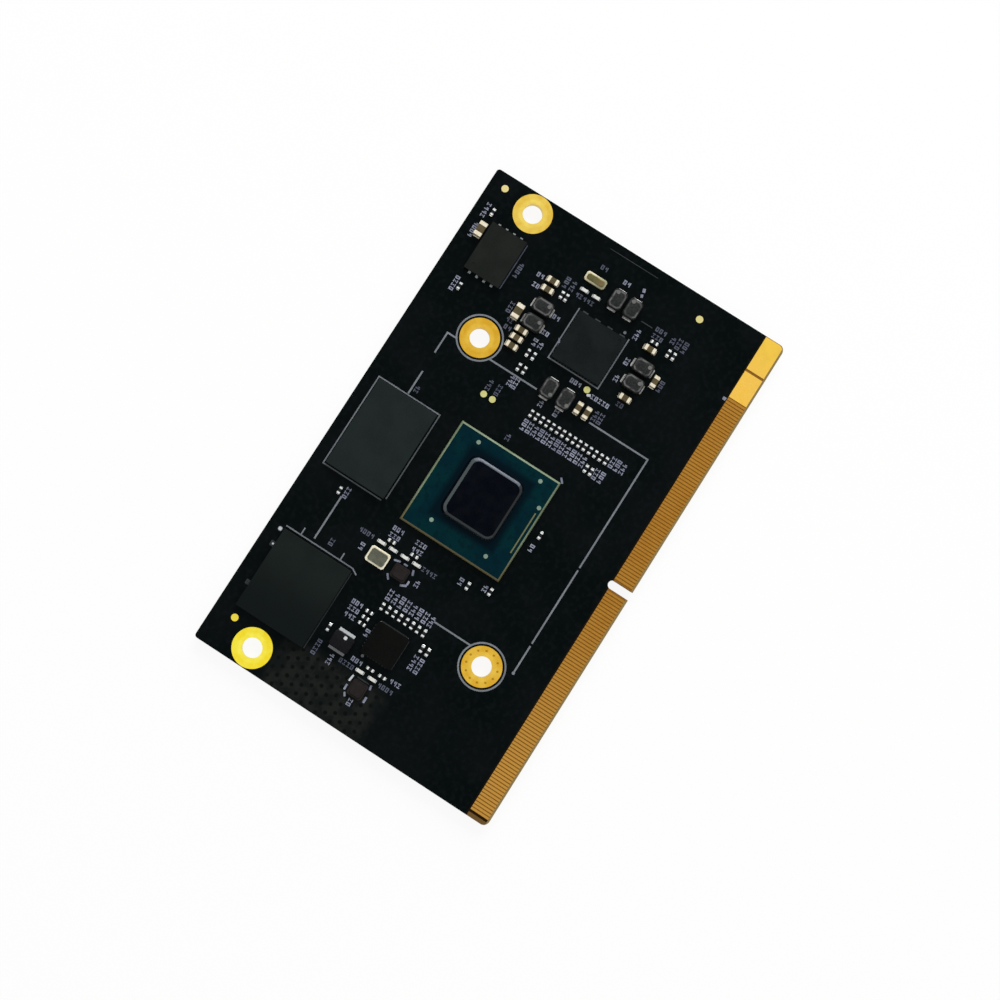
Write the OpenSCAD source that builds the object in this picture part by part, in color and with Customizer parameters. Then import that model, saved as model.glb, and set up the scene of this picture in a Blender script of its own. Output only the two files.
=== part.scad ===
// Card-edge processor module. The origin is under the middle of the board,
// +X along the contact edge, -Y towards the contacts, +Z out of the component side.

/* [Board] */
// Length of the board along its contact edge
board_l = 82; // [80:0.5:86]
// Width of the board from the contact edge to the plain edge
board_w = 50; // [49:0.5:54]
// Thickness of the board over its solder mask
board_t = 1.2; // [1:0.05:1.6]
// Radius of the two corners on the plain edge
plain_corner_r = 0.5; // [0.2:0.1:1.5]
// Radius of the two corners on the contact edge
contact_corner_r = 1; // [0.4:0.1:1.5]
// Length of the bevel along the contact edge
bevel_l = 0.35; // [0.2:0.05:0.6]
// Depth of the bevel in each face
bevel_d = 0.25; // [0.1:0.05:0.35]

/* [Mounting holes] */
// Diameter of the plated holes
hole_d = 3; // [2.4:0.1:3.4]
// Diameter of the gold ring round each hole
ring_d = 6; // [5:0.1:6.1]
// Wall of the plated barrel
barrel_t = 0.06; // [0.04:0.01:0.1]
// Clearance between the plating and the board
plating_gap = 0.01; // [0.005:0.005:0.02]
// From the side edges to the centres of the two edge holes
edge_hole_inset = 3.1; // [3.1:0.1:4]
// From the plain edge to the centres of the two edge holes
edge_hole_from_plain = 8; // [6:0.5:10]
// From the right side edge to the centre of the inner right hole
inner_right_from_side = 23; // [22:0.5:24]
// From the plain edge to the centre of the inner right hole
inner_right_from_plain = 11.35; // [10:0.05:12]
// From the left side edge to the centre of the inner left hole
inner_left_from_side = 18.8; // [17.5:0.1:19.5]
// From the contact edge to the centre of the inner left hole
inner_left_from_contacts = 12.7; // [11:0.1:13.5]

/* [Cooling frame] */
// From the middle of the processor to the left line of the printed cooling frame
frame_left_reach = 18.3; // [17.8:0.1:18.8]
// From the right line of that frame to the centre of the inner right hole
frame_right_inset = 1.9; // [1.5:0.1:2.4]
// From the plain edge to the top line of that frame
frame_top_inset = 6.95; // [6.5:0.05:7.5]
// From the contact edge to the bottom line of that frame
frame_bottom_inset = 8.4; // [8:0.1:8.6]

/* [Edge contacts] */
// Distance between two neighbouring contacts
contact_pitch = 0.5; // [0.5:0.05:0.8]
// Width of a contact
contact_w = 0.35; // [0.25:0.01:0.4]
// Length of a contact
contact_l = 2.95; // [2:0.05:3.05]
// Thickness of the gold and copper on the laminate
contact_t = 0.04; // [0.03:0.005:0.06]
// From the contact edge to the edge of the solder mask
mask_setback = 3.45; // [3.45:0.05:4]
// Bare laminate between the left side edge and the first contact
first_contact_gap = 1.05; // [0.6:0.05:1.5]
// Shift of the underside contacts against those on top
underside_shift = 0.25; // [0:0.05:0.25]
// From the left side edge to the middle of the key slot
key_from_side = 38.9; // [36:0.1:42]
// Width of the key slot
key_w = 1.3; // [1:0.05:1.6]
// Depth of the key slot
key_depth = 3.75; // [3.5:0.05:4.2]
// Bare laminate between the key slot and its neighbouring contacts
key_gap = 0.35; // [0.2:0.05:0.6]
// Length of the power pad beside the contacts
inner_pad_l = 4.55; // [3:0.05:6]
// Length of the power pad at the corner
outer_pad_l = 5.55; // [4:0.05:6]
// Gap between the two power pads
pad_gap = 0.4; // [0.2:0.05:0.8]
// Gap between the last contact and the power pads
last_contact_gap = 0.15; // [0.1:0.05:0.3]
// Gap between the power pad and the side edge
pad_edge_gap = 0.1; // [0.1:0.05:0.3]

/* [Processor] */
// Side of the square package substrate
soc_l = 17; // [16:0.5:18]
// Thickness of the package substrate
soc_t = 0.55; // [0.4:0.05:0.8]
// Length of the moulded cap at its foot
cap_l = 10.1; // [8:0.1:12]
// Width of the moulded cap at its foot
cap_w = 9.2; // [8:0.1:11]
// Height of the moulded cap
cap_h = 0.75; // [0.5:0.05:1]
// How far the cap's sides lean in
cap_lean = 0.7; // [0.2:0.05:1]
// Radius of the cap's corners
cap_corner_r = 1.4; // [0.8:0.1:2]
// Shift of the cap from the middle of the substrate
cap_shift = 0.5; // [0:0.05:1]
// From the sides of the cap's flat top to the middle of its dimple
cap_dimple_in = [1.2, 1.1]; // [0.8:0.1:1.6]
// Height of the solder balls
ball_h = 0.25; // [0.15:0.05:0.35]
// Diameter of the solder balls
ball_d = 0.4; // [0.3:0.05:0.45]
// Pitch of the solder balls under the processor
soc_ball_pitch = 0.8; // [0.65:0.05:0.8]
// From the left side edge to the middle of the processor
soc_from_side = 38.8; // [38:0.1:39.5]
// From the plain edge to the middle of the processor
soc_from_plain = 24.3; // [24:0.1:25]
// Diameter of the gold dots on the substrate
soc_dot_d = 0.65; // [0.4:0.05:0.8]
// Length of the gold line along the substrate's lower side
soc_line_l = 6.8; // [5:0.1:8]
// Width of that line
soc_line_w = 0.2; // [0.1:0.02:0.3]
// From that side of the substrate to the middle of the line
soc_line_in = 0.8; // [0.6:0.05:1.2]

/* [Memory and storage] */
// Length of the memory chip
memory_l = 14.5; // [13:0.1:15]
// Width of the memory chip
memory_w = 10; // [9:0.1:10.5]
// Thickness of the memory chip
memory_t = 0.75; // [0.5:0.05:1]
// From the plain edge to the middle of the memory chip
memory_from_plain = 7.3; // [6.5:0.1:7.5]
// Shift of the memory chip to the left of the processor's middle
memory_shift = 0.15; // [0:0.05:0.5]
// Pitch of the memory chip's solder balls along its length and its width
memory_ball_pitch = [0.65, 0.8]; // [0.65:0.05:1]
// Length of the storage chip
storage_l = 13; // [11.5:0.1:13.5]
// Width of the storage chip
storage_w = 11.5; // [10:0.1:11.8]
// Thickness of the storage chip
storage_t = 0.75; // [0.5:0.05:1]
// From the left side edge to the middle of the storage chip
storage_from_side = 13.6; // [13.4:0.1:14.5]
// From the plain edge to the middle of the storage chip
storage_from_plain = 8.35; // [7.5:0.05:8.5]
// Pitch of the storage chip's solder balls
storage_ball_pitch = 0.7; // [0.5:0.05:0.75]
// Solder balls on each side of the storage chip's outer ring
storage_balls_side = 14; // [10:1:14]

/* [Flash chip] */
// Length of the flash chip
flash_l = 8; // [7:0.1:9]
// Width of the flash chip
flash_w = 6; // [5.2:0.1:6.4]
// Thickness of the flash chip
flash_t = 0.75; // [0.5:0.05:1]
// Pitch of its four leads on each side
flash_pitch = 1.27; // [1:0.01:1.3]
// Width of its leads
flash_lead_w = 0.4; // [0.3:0.05:0.5]
// Length and width of the heat pad under it
flash_pad = [4, 4]; // [3:0.1:4.4]
// From the sides of the flash chip to the middle of its dimple
flash_dimple_in = 1; // [0.6:0.1:1.4]
// From the right side edge to the middle of the flash chip
flash_from_side = 11.4; // [11:0.1:12]
// From the plain edge to the middle of the flash chip
flash_from_plain = 6.7; // [6:0.1:7]

/* [Power chip] */
// Side of the square power chip
power_l = 8; // [7:0.1:8.4]
// Thickness of the power chip
power_t = 0.85; // [0.6:0.05:1]
// Leads on each side of the power chip
power_leads = 14; // [10:1:14]
// From the sides of the power chip to the middle of its dimple
power_dimple_in = 0.8; // [0.5:0.1:1.2]
// From the right side edge to the middle of the power chip
power_from_side = 15.7; // [15:0.1:16]
// From the contact edge to the middle of the power chip
power_from_contacts = 24.35; // [24:0.05:25]

/* [Network chip] */
// Side of the square network chip
network_l = 5.2; // [4.6:0.1:5.4]
// Thickness of the network chip
network_t = 0.85; // [0.6:0.05:1]
// Leads on each side of the network chip
network_leads = 8; // [6:1:8]
// From the sides of the network chip to the middle of its dimple
network_dimple_in = 0.7; // [0.5:0.1:1.2]
// From the left side edge to the middle of the network chip
network_from_side = 13.8; // [13.4:0.1:14.2]
// From the contact edge to the middle of the network chip
network_from_contacts = 26.1; // [25.5:0.1:27]

/* [Chip leads] */
// Pitch of the leads on the power and network chips
lead_pitch = 0.5; // [0.4:0.05:0.5]
// Width of those leads
lead_w = 0.25; // [0.18:0.01:0.3]
// Thickness of the leads with their solder
lead_t = 0.06; // [0.04:0.01:0.1]
// How far the leads reach under a chip
lead_in = 0.4; // [0.3:0.05:0.5]
// How far the leads show beyond a chip
lead_out = 0.12; // [0.05:0.01:0.3]
// Gap between those leads and the heat pad inside them
heat_pad_gap = 0.5; // [0.3:0.05:0.8]
// How far the flash chip's leads show beyond it
flash_lead_out = 0.35; // [0.2:0.05:0.5]
// Diameter of the dimple that marks a chip's first lead
dimple_d = 0.6; // [0.4:0.1:0.8]
// Depth of that dimple
dimple_deep = 0.05; // [0.03:0.01:0.1]

/* [Coils] */
// Length of a moulded power coil
coil_l = 3; // [2.5:0.1:3.2]
// Width of a moulded power coil
coil_w = 2.2; // [1.8:0.1:2.3]
// Height of a moulded power coil
coil_h = 1.15; // [0.8:0.05:1.5]
// Corner cut of a moulded power coil
coil_corner = 0.3; // [0.1:0.05:0.5]
// Rounding of a coil's upper edges
coil_edge = 0.12; // [0.05:0.01:0.2]
// Length of a coil's terminal
terminal_l = 0.8; // [0.5:0.05:1]
// Thickness of a coil's terminal
terminal_t = 0.1; // [0.05:0.01:0.2]
// How far a coil's terminal shows beyond its end
terminal_out = 0.12; // [0.05:0.01:0.2]
// Length of the network coil between its terminals
network_coil_l = 2.5; // [2.2:0.1:2.8]
// Width of the network coil along its terminals
network_coil_w = 3.2; // [2.8:0.1:3.4]
// Height of the network coil
network_coil_h = 1; // [0.7:0.05:1.2]
// How far the network coil's terminals stand out
network_terminal_out = 0.45; // [0.2:0.05:0.5]

/* [Crystals] */
// Length, width and height of the processor's crystal
soc_crystal = [3.2, 2.5, 0.5]; // [0.3:0.1:3.4]
// Length, width and height of the sound clock's crystal
sound_crystal = [2.5, 2.2, 0.45]; // [0.3:0.1:2.7]
// Length, width and height of the network crystal
network_crystal = [2.5, 2.4, 0.45]; // [0.3:0.1:2.7]
// Length, width and height of the slow clock's crystal
slow_crystal = [3.4, 1.5, 0.5]; // [0.3:0.1:3.8]
// Thickness of a crystal's metal lid
lid_t = 0.2; // [0.1:0.05:0.3]
// Rim of the base that shows round the lid
lid_rim = 0.28; // [0.1:0.02:0.4]
// Corner cut of a crystal's base
crystal_corner = 0.25; // [0.1:0.05:0.4]

/* [Chip capacitors and resistors] */
// Length, width and height of a bulk capacitor
bulk_size = [1.7, 0.9, 0.8]; // [0.5:0.05:2]
// Length, width and height of a large bulk capacitor
large_size = [2.2, 1.25, 0.9]; // [0.5:0.05:2.4]
// Length, width and height of a small chip capacitor or resistor
small_size = [1, 0.5, 0.4]; // [0.3:0.05:1.1]
// Length, width and height of an underside capacitor
under_size = [1, 0.5, 0.5]; // [0.3:0.05:1.1]
// Share of a chip's length that one tinned end takes
end_share = 0.25; // [0.15:0.01:0.3]
// How far the tinned ends stand proud of the ceramic
end_skin = 0.02; // [0.01:0.005:0.04]
// Bevel along the edges of the tinned ends
end_edge = 0.06; // [0.03:0.01:0.1]
// Rows of small resistors to the right of the processor
right_bank_rows = 15; // [8:1:15]
// Distance between those rows
right_bank_pitch = 0.92; // [0.8:0.01:1]
// Gap between the processor and those rows
right_bank_gap = 5.85; // [5.6:0.05:6.4]
// From the middle of the processor up to the first of those rows
right_bank_start = 0.6; // [0.2:0.1:1]
// Rows of small resistors to the right of the network chip
left_bank_rows = 8; // [4:1:8]
// Distance between those rows
left_bank_pitch = 1.02; // [0.8:0.01:1.1]
// Gap between the network chip and those rows
left_bank_gap = 1.4; // [1:0.05:1.6]
// From the middle of the network chip up to the first of those rows
left_bank_start = 3.3; // [3:0.1:3.6]
// Columns of underside capacitors below the processor
under_columns = 6; // [3:1:7]
// Rows of underside capacitors below the processor
under_rows = 6; // [3:1:7]
// Distance between the underside capacitors
under_pitch = 2.2; // [1.6:0.1:2.4]
// From the middle of the memory chip to each row of capacitors below it
under_memory_reach = 2.4; // [1.5:0.1:3.5]

/* [Pads and printed legend] */
// Diameter of the test pads
test_pad_d = 1; // [0.7:0.1:1.2]
// Diameter of the alignment dots
alignment_d = 1.1; // [0.8:0.1:1.4]
// Thickness of the pads over the mask
pad_t = 0.03; // [0.02:0.01:0.05]
// Thickness of the printed ink
ink_t = 0.02; // [0.01:0.01:0.04]
// Width of the cooling frame's printed lines and rings
line_w = 0.26; // [0.2:0.02:0.4]
// Outer diameter of the printed rings round the inner holes
printed_ring_d = 7.1; // [6.8:0.1:7.6]
// Width of the printed outlines round the chips
outline_w = 0.2; // [0.16:0.02:0.3]
// Gap between a chip and its printed outline
outline_gap = 0.2; // [0.1:0.02:0.4]
// Gap between the storage chip and the line on its right
storage_line_gap = 0.35; // [0.25:0.05:0.5]
// Length of the two ticks on that line
storage_tick_l = 1.1; // [0.8:0.1:1.4]
// Length of that line's slanted end
storage_slant_l = 1.1; // [0.8:0.1:1.2]
// Length of the dashes on the power chip's right side
dash_l = 0.7; // [0.5:0.1:1]
// Distance between those dashes
dash_pitch = 2.1; // [1.6:0.1:2.3]
// Diameter of the printed dots beside the chips' first leads
mark_dot_d = 0.45; // [0.3:0.05:0.6]
// Diameter of the printed dot at the storage chip's corner
storage_dot_d = 0.7; // [0.5:0.05:0.8]

/* [Hidden] */
$fn = 48;

// Edges and faces of the board
left = -board_l / 2;
right = board_l / 2;
plain = board_w / 2;
contacts = -board_w / 2;
underside = under_size.z;
deck = underside + board_t;

// Middles of the holes and of the main chips
left_edge_hole = [left + edge_hole_inset, plain - edge_hole_from_plain];
right_edge_hole = [right - edge_hole_inset, plain - edge_hole_from_plain];
inner_right_hole = [right - inner_right_from_side, plain - inner_right_from_plain];
inner_left_hole = [left + inner_left_from_side, contacts + inner_left_from_contacts];
holes = [left_edge_hole, right_edge_hole, inner_right_hole, inner_left_hole];
soc_at = [left + soc_from_side, plain - soc_from_plain];
memory_at = [soc_at.x - memory_shift, plain - memory_from_plain];
storage_at = [left + storage_from_side, plain - storage_from_plain];
flash_at = [right - flash_from_side, plain - flash_from_plain];
power_at = [right - power_from_side, contacts + power_from_contacts];
network_at = [left + network_from_side, contacts + network_from_contacts];

// Lines of the printed cooling frame
frame_left = soc_at.x - frame_left_reach;
frame_right = inner_right_hole.x - frame_right_inset;
frame_top = plain - frame_top_inset;
frame_bottom = contacts + frame_bottom_inset;

// Where those lines break: the gap to the storage and memory chips, the ends of the short
// piece right of the memory chip and of the one at the corner, and the reach past the
// middles of the power and network chips
frame_past_storage = 1.2;
frame_before_memory = 3.1;
frame_past_memory = [0.6, 4.3];
frame_at_corner = 3.4;
frame_below_power = 6;
frame_above_power = 3.3;
frame_below_network = 4.3;

// Two small breaks in the bottom line, from its left end
frame_breaks = [4.8, 17.7];
frame_break_w = 0.4;

// How far the memory chip's outline stays open at its lower left corner
memory_corner_open = 0.6;

// The storage chip's line: its rise over the chip's lower side, and its ticks from its ends
storage_line_rise = 0.1;
storage_ticks_in = [2.4, 2.2];

// The dots at the first leads, from the nearest corners of their chips
storage_dot_from = [-0.4, 0.6];
power_dot_from = [0.9, 0.75];
network_dot_from = [-0.4, -0.7];

// Radii of the plating
bore_r = hole_d / 2;
barrel_r = bore_r + barrel_t;
ring_r = ring_d / 2;

// Contact rows: x of the inner edges beside the key, and how many contacts fit
key_x = left + key_from_side;
left_row_end = key_x - key_w / 2 - key_gap;
left_row_start = left + first_contact_gap;
right_row_start = key_x + key_w / 2 + key_gap;
outer_pad_x = right - pad_edge_gap - outer_pad_l;
inner_pad_x = outer_pad_x - pad_gap - inner_pad_l;
right_row_end = inner_pad_x - last_contact_gap;
function contacts_in(length) = floor((length - contact_w) / contact_pitch + 0.001) + 1;
left_count = contacts_in(left_row_end - left_row_start);
right_count = contacts_in(right_row_end - right_row_start);

// Spots are [x, y, turn] from an anchor, turned 0 along X or 90 along Y
function around(anchor, spots) = [for (s = spots) [anchor.x + s[0], anchor.y + s[1], s[2]]];

// First row of each resistor bank
right_bank_at = [
  soc_at.x + (soc_l + small_size.x) / 2 + right_bank_gap, soc_at.y + right_bank_start
];
left_bank_at = [
  network_at.x + (network_l + small_size.x) / 2 + left_bank_gap, network_at.y + left_bank_start
];

// The gold line on the substrate and the dot past its right end, from the substrate's middle
soc_line_end = 2.8;
soc_line_dot = 3.7;
soc_line_y = soc_at.y + soc_line_in - soc_l / 2;

// Gold dots on the substrate: four near its corners, and the one beside the line
soc_dot_spots = concat(
  around(soc_at, [[-6.15, 4.5, 0], [-6.35, -4.95, 0], [7.05, 4.8, 0], [7.1, -5.8, 0]]),
  [[soc_at.x + soc_line_dot, soc_line_y, 0]]
);

coil_spots = around(power_at, [
  [-8.2, 1.75, 0], [-8.3, -1.1, 0], [8.3, 0.3, 0], [8.3, -2.35, 0],
  [-1.3, 8.9, 90], [1.45, 8.9, 90], [-1, -8.2, 90], [1.8, -8.2, 90]
]);
network_coil_spots = around(network_at, [[-2.9, 5.5, 0]]);

soc_crystal_spots = around(soc_at, [[-14.95, 8.1, 90]]);
sound_crystal_spots = around(soc_at, [[-15.1, 4.2, 90]]);
network_crystal_spots = around(network_at, [[-7.4, -0.1, 0]]);
slow_crystal_spots = around(power_at, [[9.1, 4.5, 90]]);

bulk_spots = around(power_at, [
  [-5.8, 9.75, 90], [-4.45, 9.75, 90], [-3.1, 9.75, 90], [4.1, 9.75, 90], [5.6, 9.75, 90],
  [-3.4, -8.35, 90], [4.7, -7.65, 90], [-8.3, -3.4, 0], [-8.3, -4.85, 0], [1, -10.75, 0]
]);
large_spots = concat(
  around(power_at, [[-1, 11.7, 0]]),
  around(flash_at, [[2.1, 3.95, 0]])
);
load_spots = concat(
  around(soc_at, [[-12.8, 8.8, 90], [-12.8, 6.8, 90], [-12.8, 4.8, 90], [-12.8, 2.8, 90]]),
  around(network_at, [[-5.05, 1, 90], [-5.05, -1.1, 90]]),
  around(power_at, [[7, 5.1, 90], [7, 3.05, 90]])
);

right_bank_spots = [
  for (i = [0 : right_bank_rows - 1]) [right_bank_at.x, right_bank_at.y - i * right_bank_pitch, 0]
];
left_bank_spots = [
  for (i = [0 : left_bank_rows - 1]) [left_bank_at.x, left_bank_at.y - i * left_bank_pitch, 0]
];
scattered_spots = concat(
  around(network_at, [
    [0.8, 4.45, 90], [1.8, 4.45, 90], [2.8, 4.45, 90], [2.5, -4.75, 0], [2.5, -5.75, 0],
    [-4, -0.1, 90], [-4, -2.15, 90], [-2.15, 8.2, 0]
  ]),
  around(memory_at, [[-9.6, 1.05, 0]]),
  around(soc_at, [
    [-11.35, -5.1, 0], [-10.3, -8.3, 0], [-11.9, 7.65, 90], [-11.9, 3.75, 90], [0.5, -10, 0]
  ]),
  around(right_bank_at, [[-2.55, -11, 0], [-2.55, -11.9, 0]]),
  around(power_at, [
    [-7.85, 7.15, 0], [-7.85, 6.2, 0], [-5.35, 7.15, 0], [-5.35, 6.15, 0], [4.6, 7.55, 0],
    [4.6, 6.75, 0], [5.9, -7.7, 90], [5.7, -10.25, 0], [5.7, -11.15, 0]
  ]),
  around(flash_at, [[-6.7, 2, 0], [5.3, 3.8, 0]])
);

// The underside grid turns every second capacitor
under_spots = concat(
  [
    for (i = [0 : under_columns - 1], j = [0 : under_rows - 1])
      [
        soc_at.x + (i - (under_columns - 1) / 2) * under_pitch,
        soc_at.y + (j - (under_rows - 1) / 2) * under_pitch,
        (i + j) % 2 * 90
      ]
  ],
  [
    for (i = [0 : under_columns - 1], side = [-1, 1])
      [
        memory_at.x + (i - (under_columns - 1) / 2) * under_pitch,
        memory_at.y + side * under_memory_reach,
        90
      ]
  ]
);

// A block centred on a spot and standing at height z
module block(size, at, z) {
  translate([at.x - size.x / 2, at.y - size.y / 2, z]) cube(size);
}

// Outline of a bar with bevelled edges, centred on X and standing on Y = 0
module bar_profile(w, h, edge) {
  polygon([
    [edge - w / 2, 0], [w / 2 - edge, 0], [w / 2, edge], [w / 2, h - edge],
    [w / 2 - edge, h], [edge - w / 2, h], [-w / 2, h - edge], [-w / 2, edge]
  ]);
}

// Rectangle with cut corners, centred on the origin
module cut_rectangle(l, w, corner) {
  polygon([
    [corner - l / 2, -w / 2], [l / 2 - corner, -w / 2], [l / 2, corner - w / 2],
    [l / 2, w / 2 - corner], [l / 2 - corner, w / 2], [corner - l / 2, w / 2],
    [-l / 2, w / 2 - corner], [-l / 2, corner - w / 2]
  ]);
}

// Puts its children at each spot, turned, at height z
module at_spots(spots, z) {
  for (s = spots) translate([s[0], s[1], z]) rotate(s[2]) children();
}

// The ceramic of a chip part, between its ends
module chip_body(size) {
  l = size.x * (1 - 2 * end_share);
  block([l, size.y - 2 * end_skin, size.z - 2 * end_skin], [0, 0], end_skin);
}

// The two tinned ends of a chip part
module chip_ends(size) {
  l = size.x * end_share;
  for (side = [-1, 1])
    translate([side * (size.x - l) / 2 - l / 2, 0, 0])
      rotate([90, 0, 90]) linear_extrude(l) bar_profile(size.y, size.z, end_edge);
}

// Takes a rounded corner off a flat outline; way points out of the corner
module corner_cut(corner, r, way) {
  past = 1;
  difference() {
    translate(corner + way * (past - r) / 2) square(r + past, center = true);
    translate(corner - way * r) circle(r);
  }
}

// Outline of the board, smaller all round by inset
module board_outline(inset) {
  difference() {
    square([board_l - 2 * inset, board_w - 2 * inset], center = true);
    for (side = [-1, 1]) {
      edge_x = side * (board_l / 2 - inset);
      corner_cut([edge_x, plain - inset], plain_corner_r, [side, 1]);
      corner_cut([edge_x, contacts + inset], contact_corner_r, [side, -1]);
    }
  }
}

module circuit_board() {
  past = 1;
  color("#14191b") difference() {
    translate([0, 0, underside]) linear_extrude(board_t) board_outline(0);
    // Shelves that bring the contacts level with the solder mask
    for (z = [underside - past, deck - contact_t])
      translate([left - past, contacts - past, z])
        cube([board_l + 2 * past, mask_setback + past, past + contact_t]);
    // Bevels along the contact edge
    for (flip = [0, 1])
      translate([left - past, contacts, flip ? deck - contact_t : underside + contact_t])
        mirror([0, 0, flip]) rotate([90, 0, 90]) linear_extrude(board_l + 2 * past)
          polygon([[-past, -past], [bevel_l, -past], [bevel_l, 0], [0, bevel_d], [-past, bevel_d]]);
    // Key slot with its round end
    translate([key_x - key_w / 2, contacts - past, underside - past])
      cube([key_w, past + key_depth - key_w / 2, board_t + 2 * past]);
    translate([key_x, contacts + key_depth - key_w / 2, underside - past])
      cylinder(d = key_w, h = board_t + 2 * past);
    // Plated holes with a seat for the ring on each face
    for (h = holes) translate([h.x, h.y, 0]) {
      translate([0, 0, underside - past])
        cylinder(r = barrel_r + plating_gap, h = board_t + 2 * past);
      for (z = [underside - past, deck - contact_t])
        translate([0, 0, z]) cylinder(r = ring_r + plating_gap, h = past + contact_t);
    }
  }
}

// A row of contacts that starts at x, from the bevel to the mask
module contact_row(x, count, z) {
  for (i = [0 : count - 1])
    translate([x + i * contact_pitch, contacts + bevel_l, z])
      cube([contact_w, contact_l, contact_t]);
}

module contacts_top_left() {
  start = left_row_end - contact_w - (left_count - 1) * contact_pitch;
  color("#d9a441") contact_row(start, left_count, deck - contact_t);
}

module contacts_top_right() {
  color("#d9a441") contact_row(right_row_start, right_count, deck - contact_t);
}

module contacts_under_left() {
  start = left_row_end - contact_w - (left_count - 1) * contact_pitch + underside_shift;
  color("#d9a441") contact_row(start, left_count - 1, underside);
}

module contacts_under_right() {
  color("#d9a441") contact_row(right_row_start + underside_shift, right_count - 1, underside);
}

// The two wide pads, the outer one rounded with the board's corner
module power_pads(z) {
  y = contacts + bevel_l;
  color("#f2c84b") {
    translate([inner_pad_x, y, z]) cube([inner_pad_l, contact_l, contact_t]);
    intersection() {
      translate([outer_pad_x, y, z]) cube([outer_pad_l, contact_l, contact_t]);
      translate([0, 0, z]) linear_extrude(contact_t) board_outline(pad_edge_gap);
    }
  }
}

module power_pads_top() { power_pads(deck - contact_t); }
module power_pads_under() { power_pads(underside); }

// Plated barrel of one hole with its ring on each face, turned as one profile
module plated_barrel(at) {
  color("#f4d35e") translate([at.x, at.y, underside])
    rotate_extrude() polygon([
      [bore_r, 0], [ring_r, 0], [ring_r, contact_t], [barrel_r, contact_t],
      [barrel_r, board_t - contact_t], [ring_r, board_t - contact_t], [ring_r, board_t],
      [bore_r, board_t]
    ]);
}

module barrel_left_edge() { plated_barrel(left_edge_hole); }
module barrel_right_edge() { plated_barrel(right_edge_hole); }
module barrel_inner_left() { plated_barrel(inner_left_hole); }
module barrel_inner_right() { plated_barrel(inner_right_hole); }

// One solder ball, drawn as a short drum
module ball(at) {
  translate([at.x, at.y, deck]) cylinder(d = ball_d, h = ball_h, $fn = 16);
}

// A moulded shape with leaning sides and rounded corners, standing on z = 0
module leaning_cap(l, w, h, lean, r) {
  hull() for (step = [[0, 0], [lean, h - 0.01]]) for (x = [-1, 1], y = [-1, 1])
    translate([x * (l / 2 - r), y * (w / 2 - r), step[1]])
      cylinder(r = r - step[0] * 0.5, h = 0.01, $fn = 32);
}

module processor_substrate() {
  color("#2c3f3a") block([soc_l, soc_l, soc_t], soc_at, deck + ball_h);
}

module processor_marks() {
  top = deck + ball_h + soc_t;
  line_start = soc_at.x + soc_line_end - soc_line_l;
  color("#e0c060") {
    at_spots(soc_dot_spots, top) cylinder(d = soc_dot_d, h = pad_t);
    translate([line_start, soc_line_y - soc_line_w / 2, top])
      cube([soc_line_l, soc_line_w, pad_t]);
  }
}

module processor_cap() {
  foot = deck + ball_h + soc_t;
  dimple = [cap_l / 2 - cap_lean - cap_dimple_in.x, cap_lean + cap_dimple_in.y - cap_w / 2];
  color("#303535") translate([soc_at.x + cap_shift, soc_at.y, foot]) difference() {
    leaning_cap(cap_l, cap_w, cap_h, cap_lean, cap_corner_r);
    translate([dimple.x, dimple.y, cap_h - dimple_deep]) cylinder(d = dimple_d, h = 1);
  }
}

module processor_balls() {
  side = floor((soc_l - 1) / soc_ball_pitch) - 1;
  middle = side / 2;
  rings = 3;
  color("silver") for (i = [0 : side], j = [0 : side]) {
    depth = min(i, j, side - i, side - j);
    reach = max(abs(i - middle), abs(j - middle));
    if (depth < rings || reach < 3)
      ball([soc_at.x + (i - middle) * soc_ball_pitch, soc_at.y + (j - middle) * soc_ball_pitch]);
  }
}

module memory_chip() {
  color("#2b3131") block([memory_l, memory_w, memory_t], memory_at, deck + ball_h);
}

module memory_balls() {
  pitch = memory_ball_pitch;
  columns = floor((memory_l - 1.5 * ball_d) / pitch.x);
  rows = floor((memory_w - 1.5 * ball_d) / pitch.y);
  color("silver") for (i = [0 : columns], j = [0 : rows])
    if (abs(i - columns / 2) > 1 && abs(j - rows / 2) > 1)
      ball([
        memory_at.x + (i - columns / 2) * pitch.x, memory_at.y + (j - rows / 2) * pitch.y
      ]);
}

module storage_chip() {
  color("#2b3131") block([storage_l, storage_w, storage_t], storage_at, deck + ball_h);
}

module storage_balls() {
  side = storage_balls_side - 1;
  pitch = storage_ball_pitch;
  color("silver") for (i = [0 : side], j = [0 : side])
    if (min(i, j, side - i, side - j) < 3)
      ball([storage_at.x + (i - side / 2) * pitch, storage_at.y + (j - side / 2) * pitch]);
}

// A flat chip with its first-lead dimple; mark is the dimple's place from the middle
module flat_chip(size, at, mark) {
  z = deck + lead_t;
  difference() {
    block(size, at, z);
    translate([at.x + mark.x, at.y + mark.y, z + size.z - dimple_deep])
      cylinder(d = dimple_d, h = 1);
  }
}

module flash_chip() {
  mark = [flash_dimple_in - flash_l / 2, flash_w / 2 - flash_dimple_in];
  color("#262a2a") flat_chip([flash_l, flash_w, flash_t], flash_at, mark);
}

module flash_leads() {
  reach = lead_in + flash_lead_out;
  color("silver") {
    for (side = [-1, 1], i = [-1.5 : 1 : 1.5])
      block(
        [reach, flash_lead_w, lead_t],
        [flash_at.x + side * (flash_l / 2 + flash_lead_out - reach / 2), flash_at.y + i * flash_pitch],
        deck
      );
    block([flash_pad.x, flash_pad.y, lead_t], flash_at, deck);
  }
}

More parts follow.
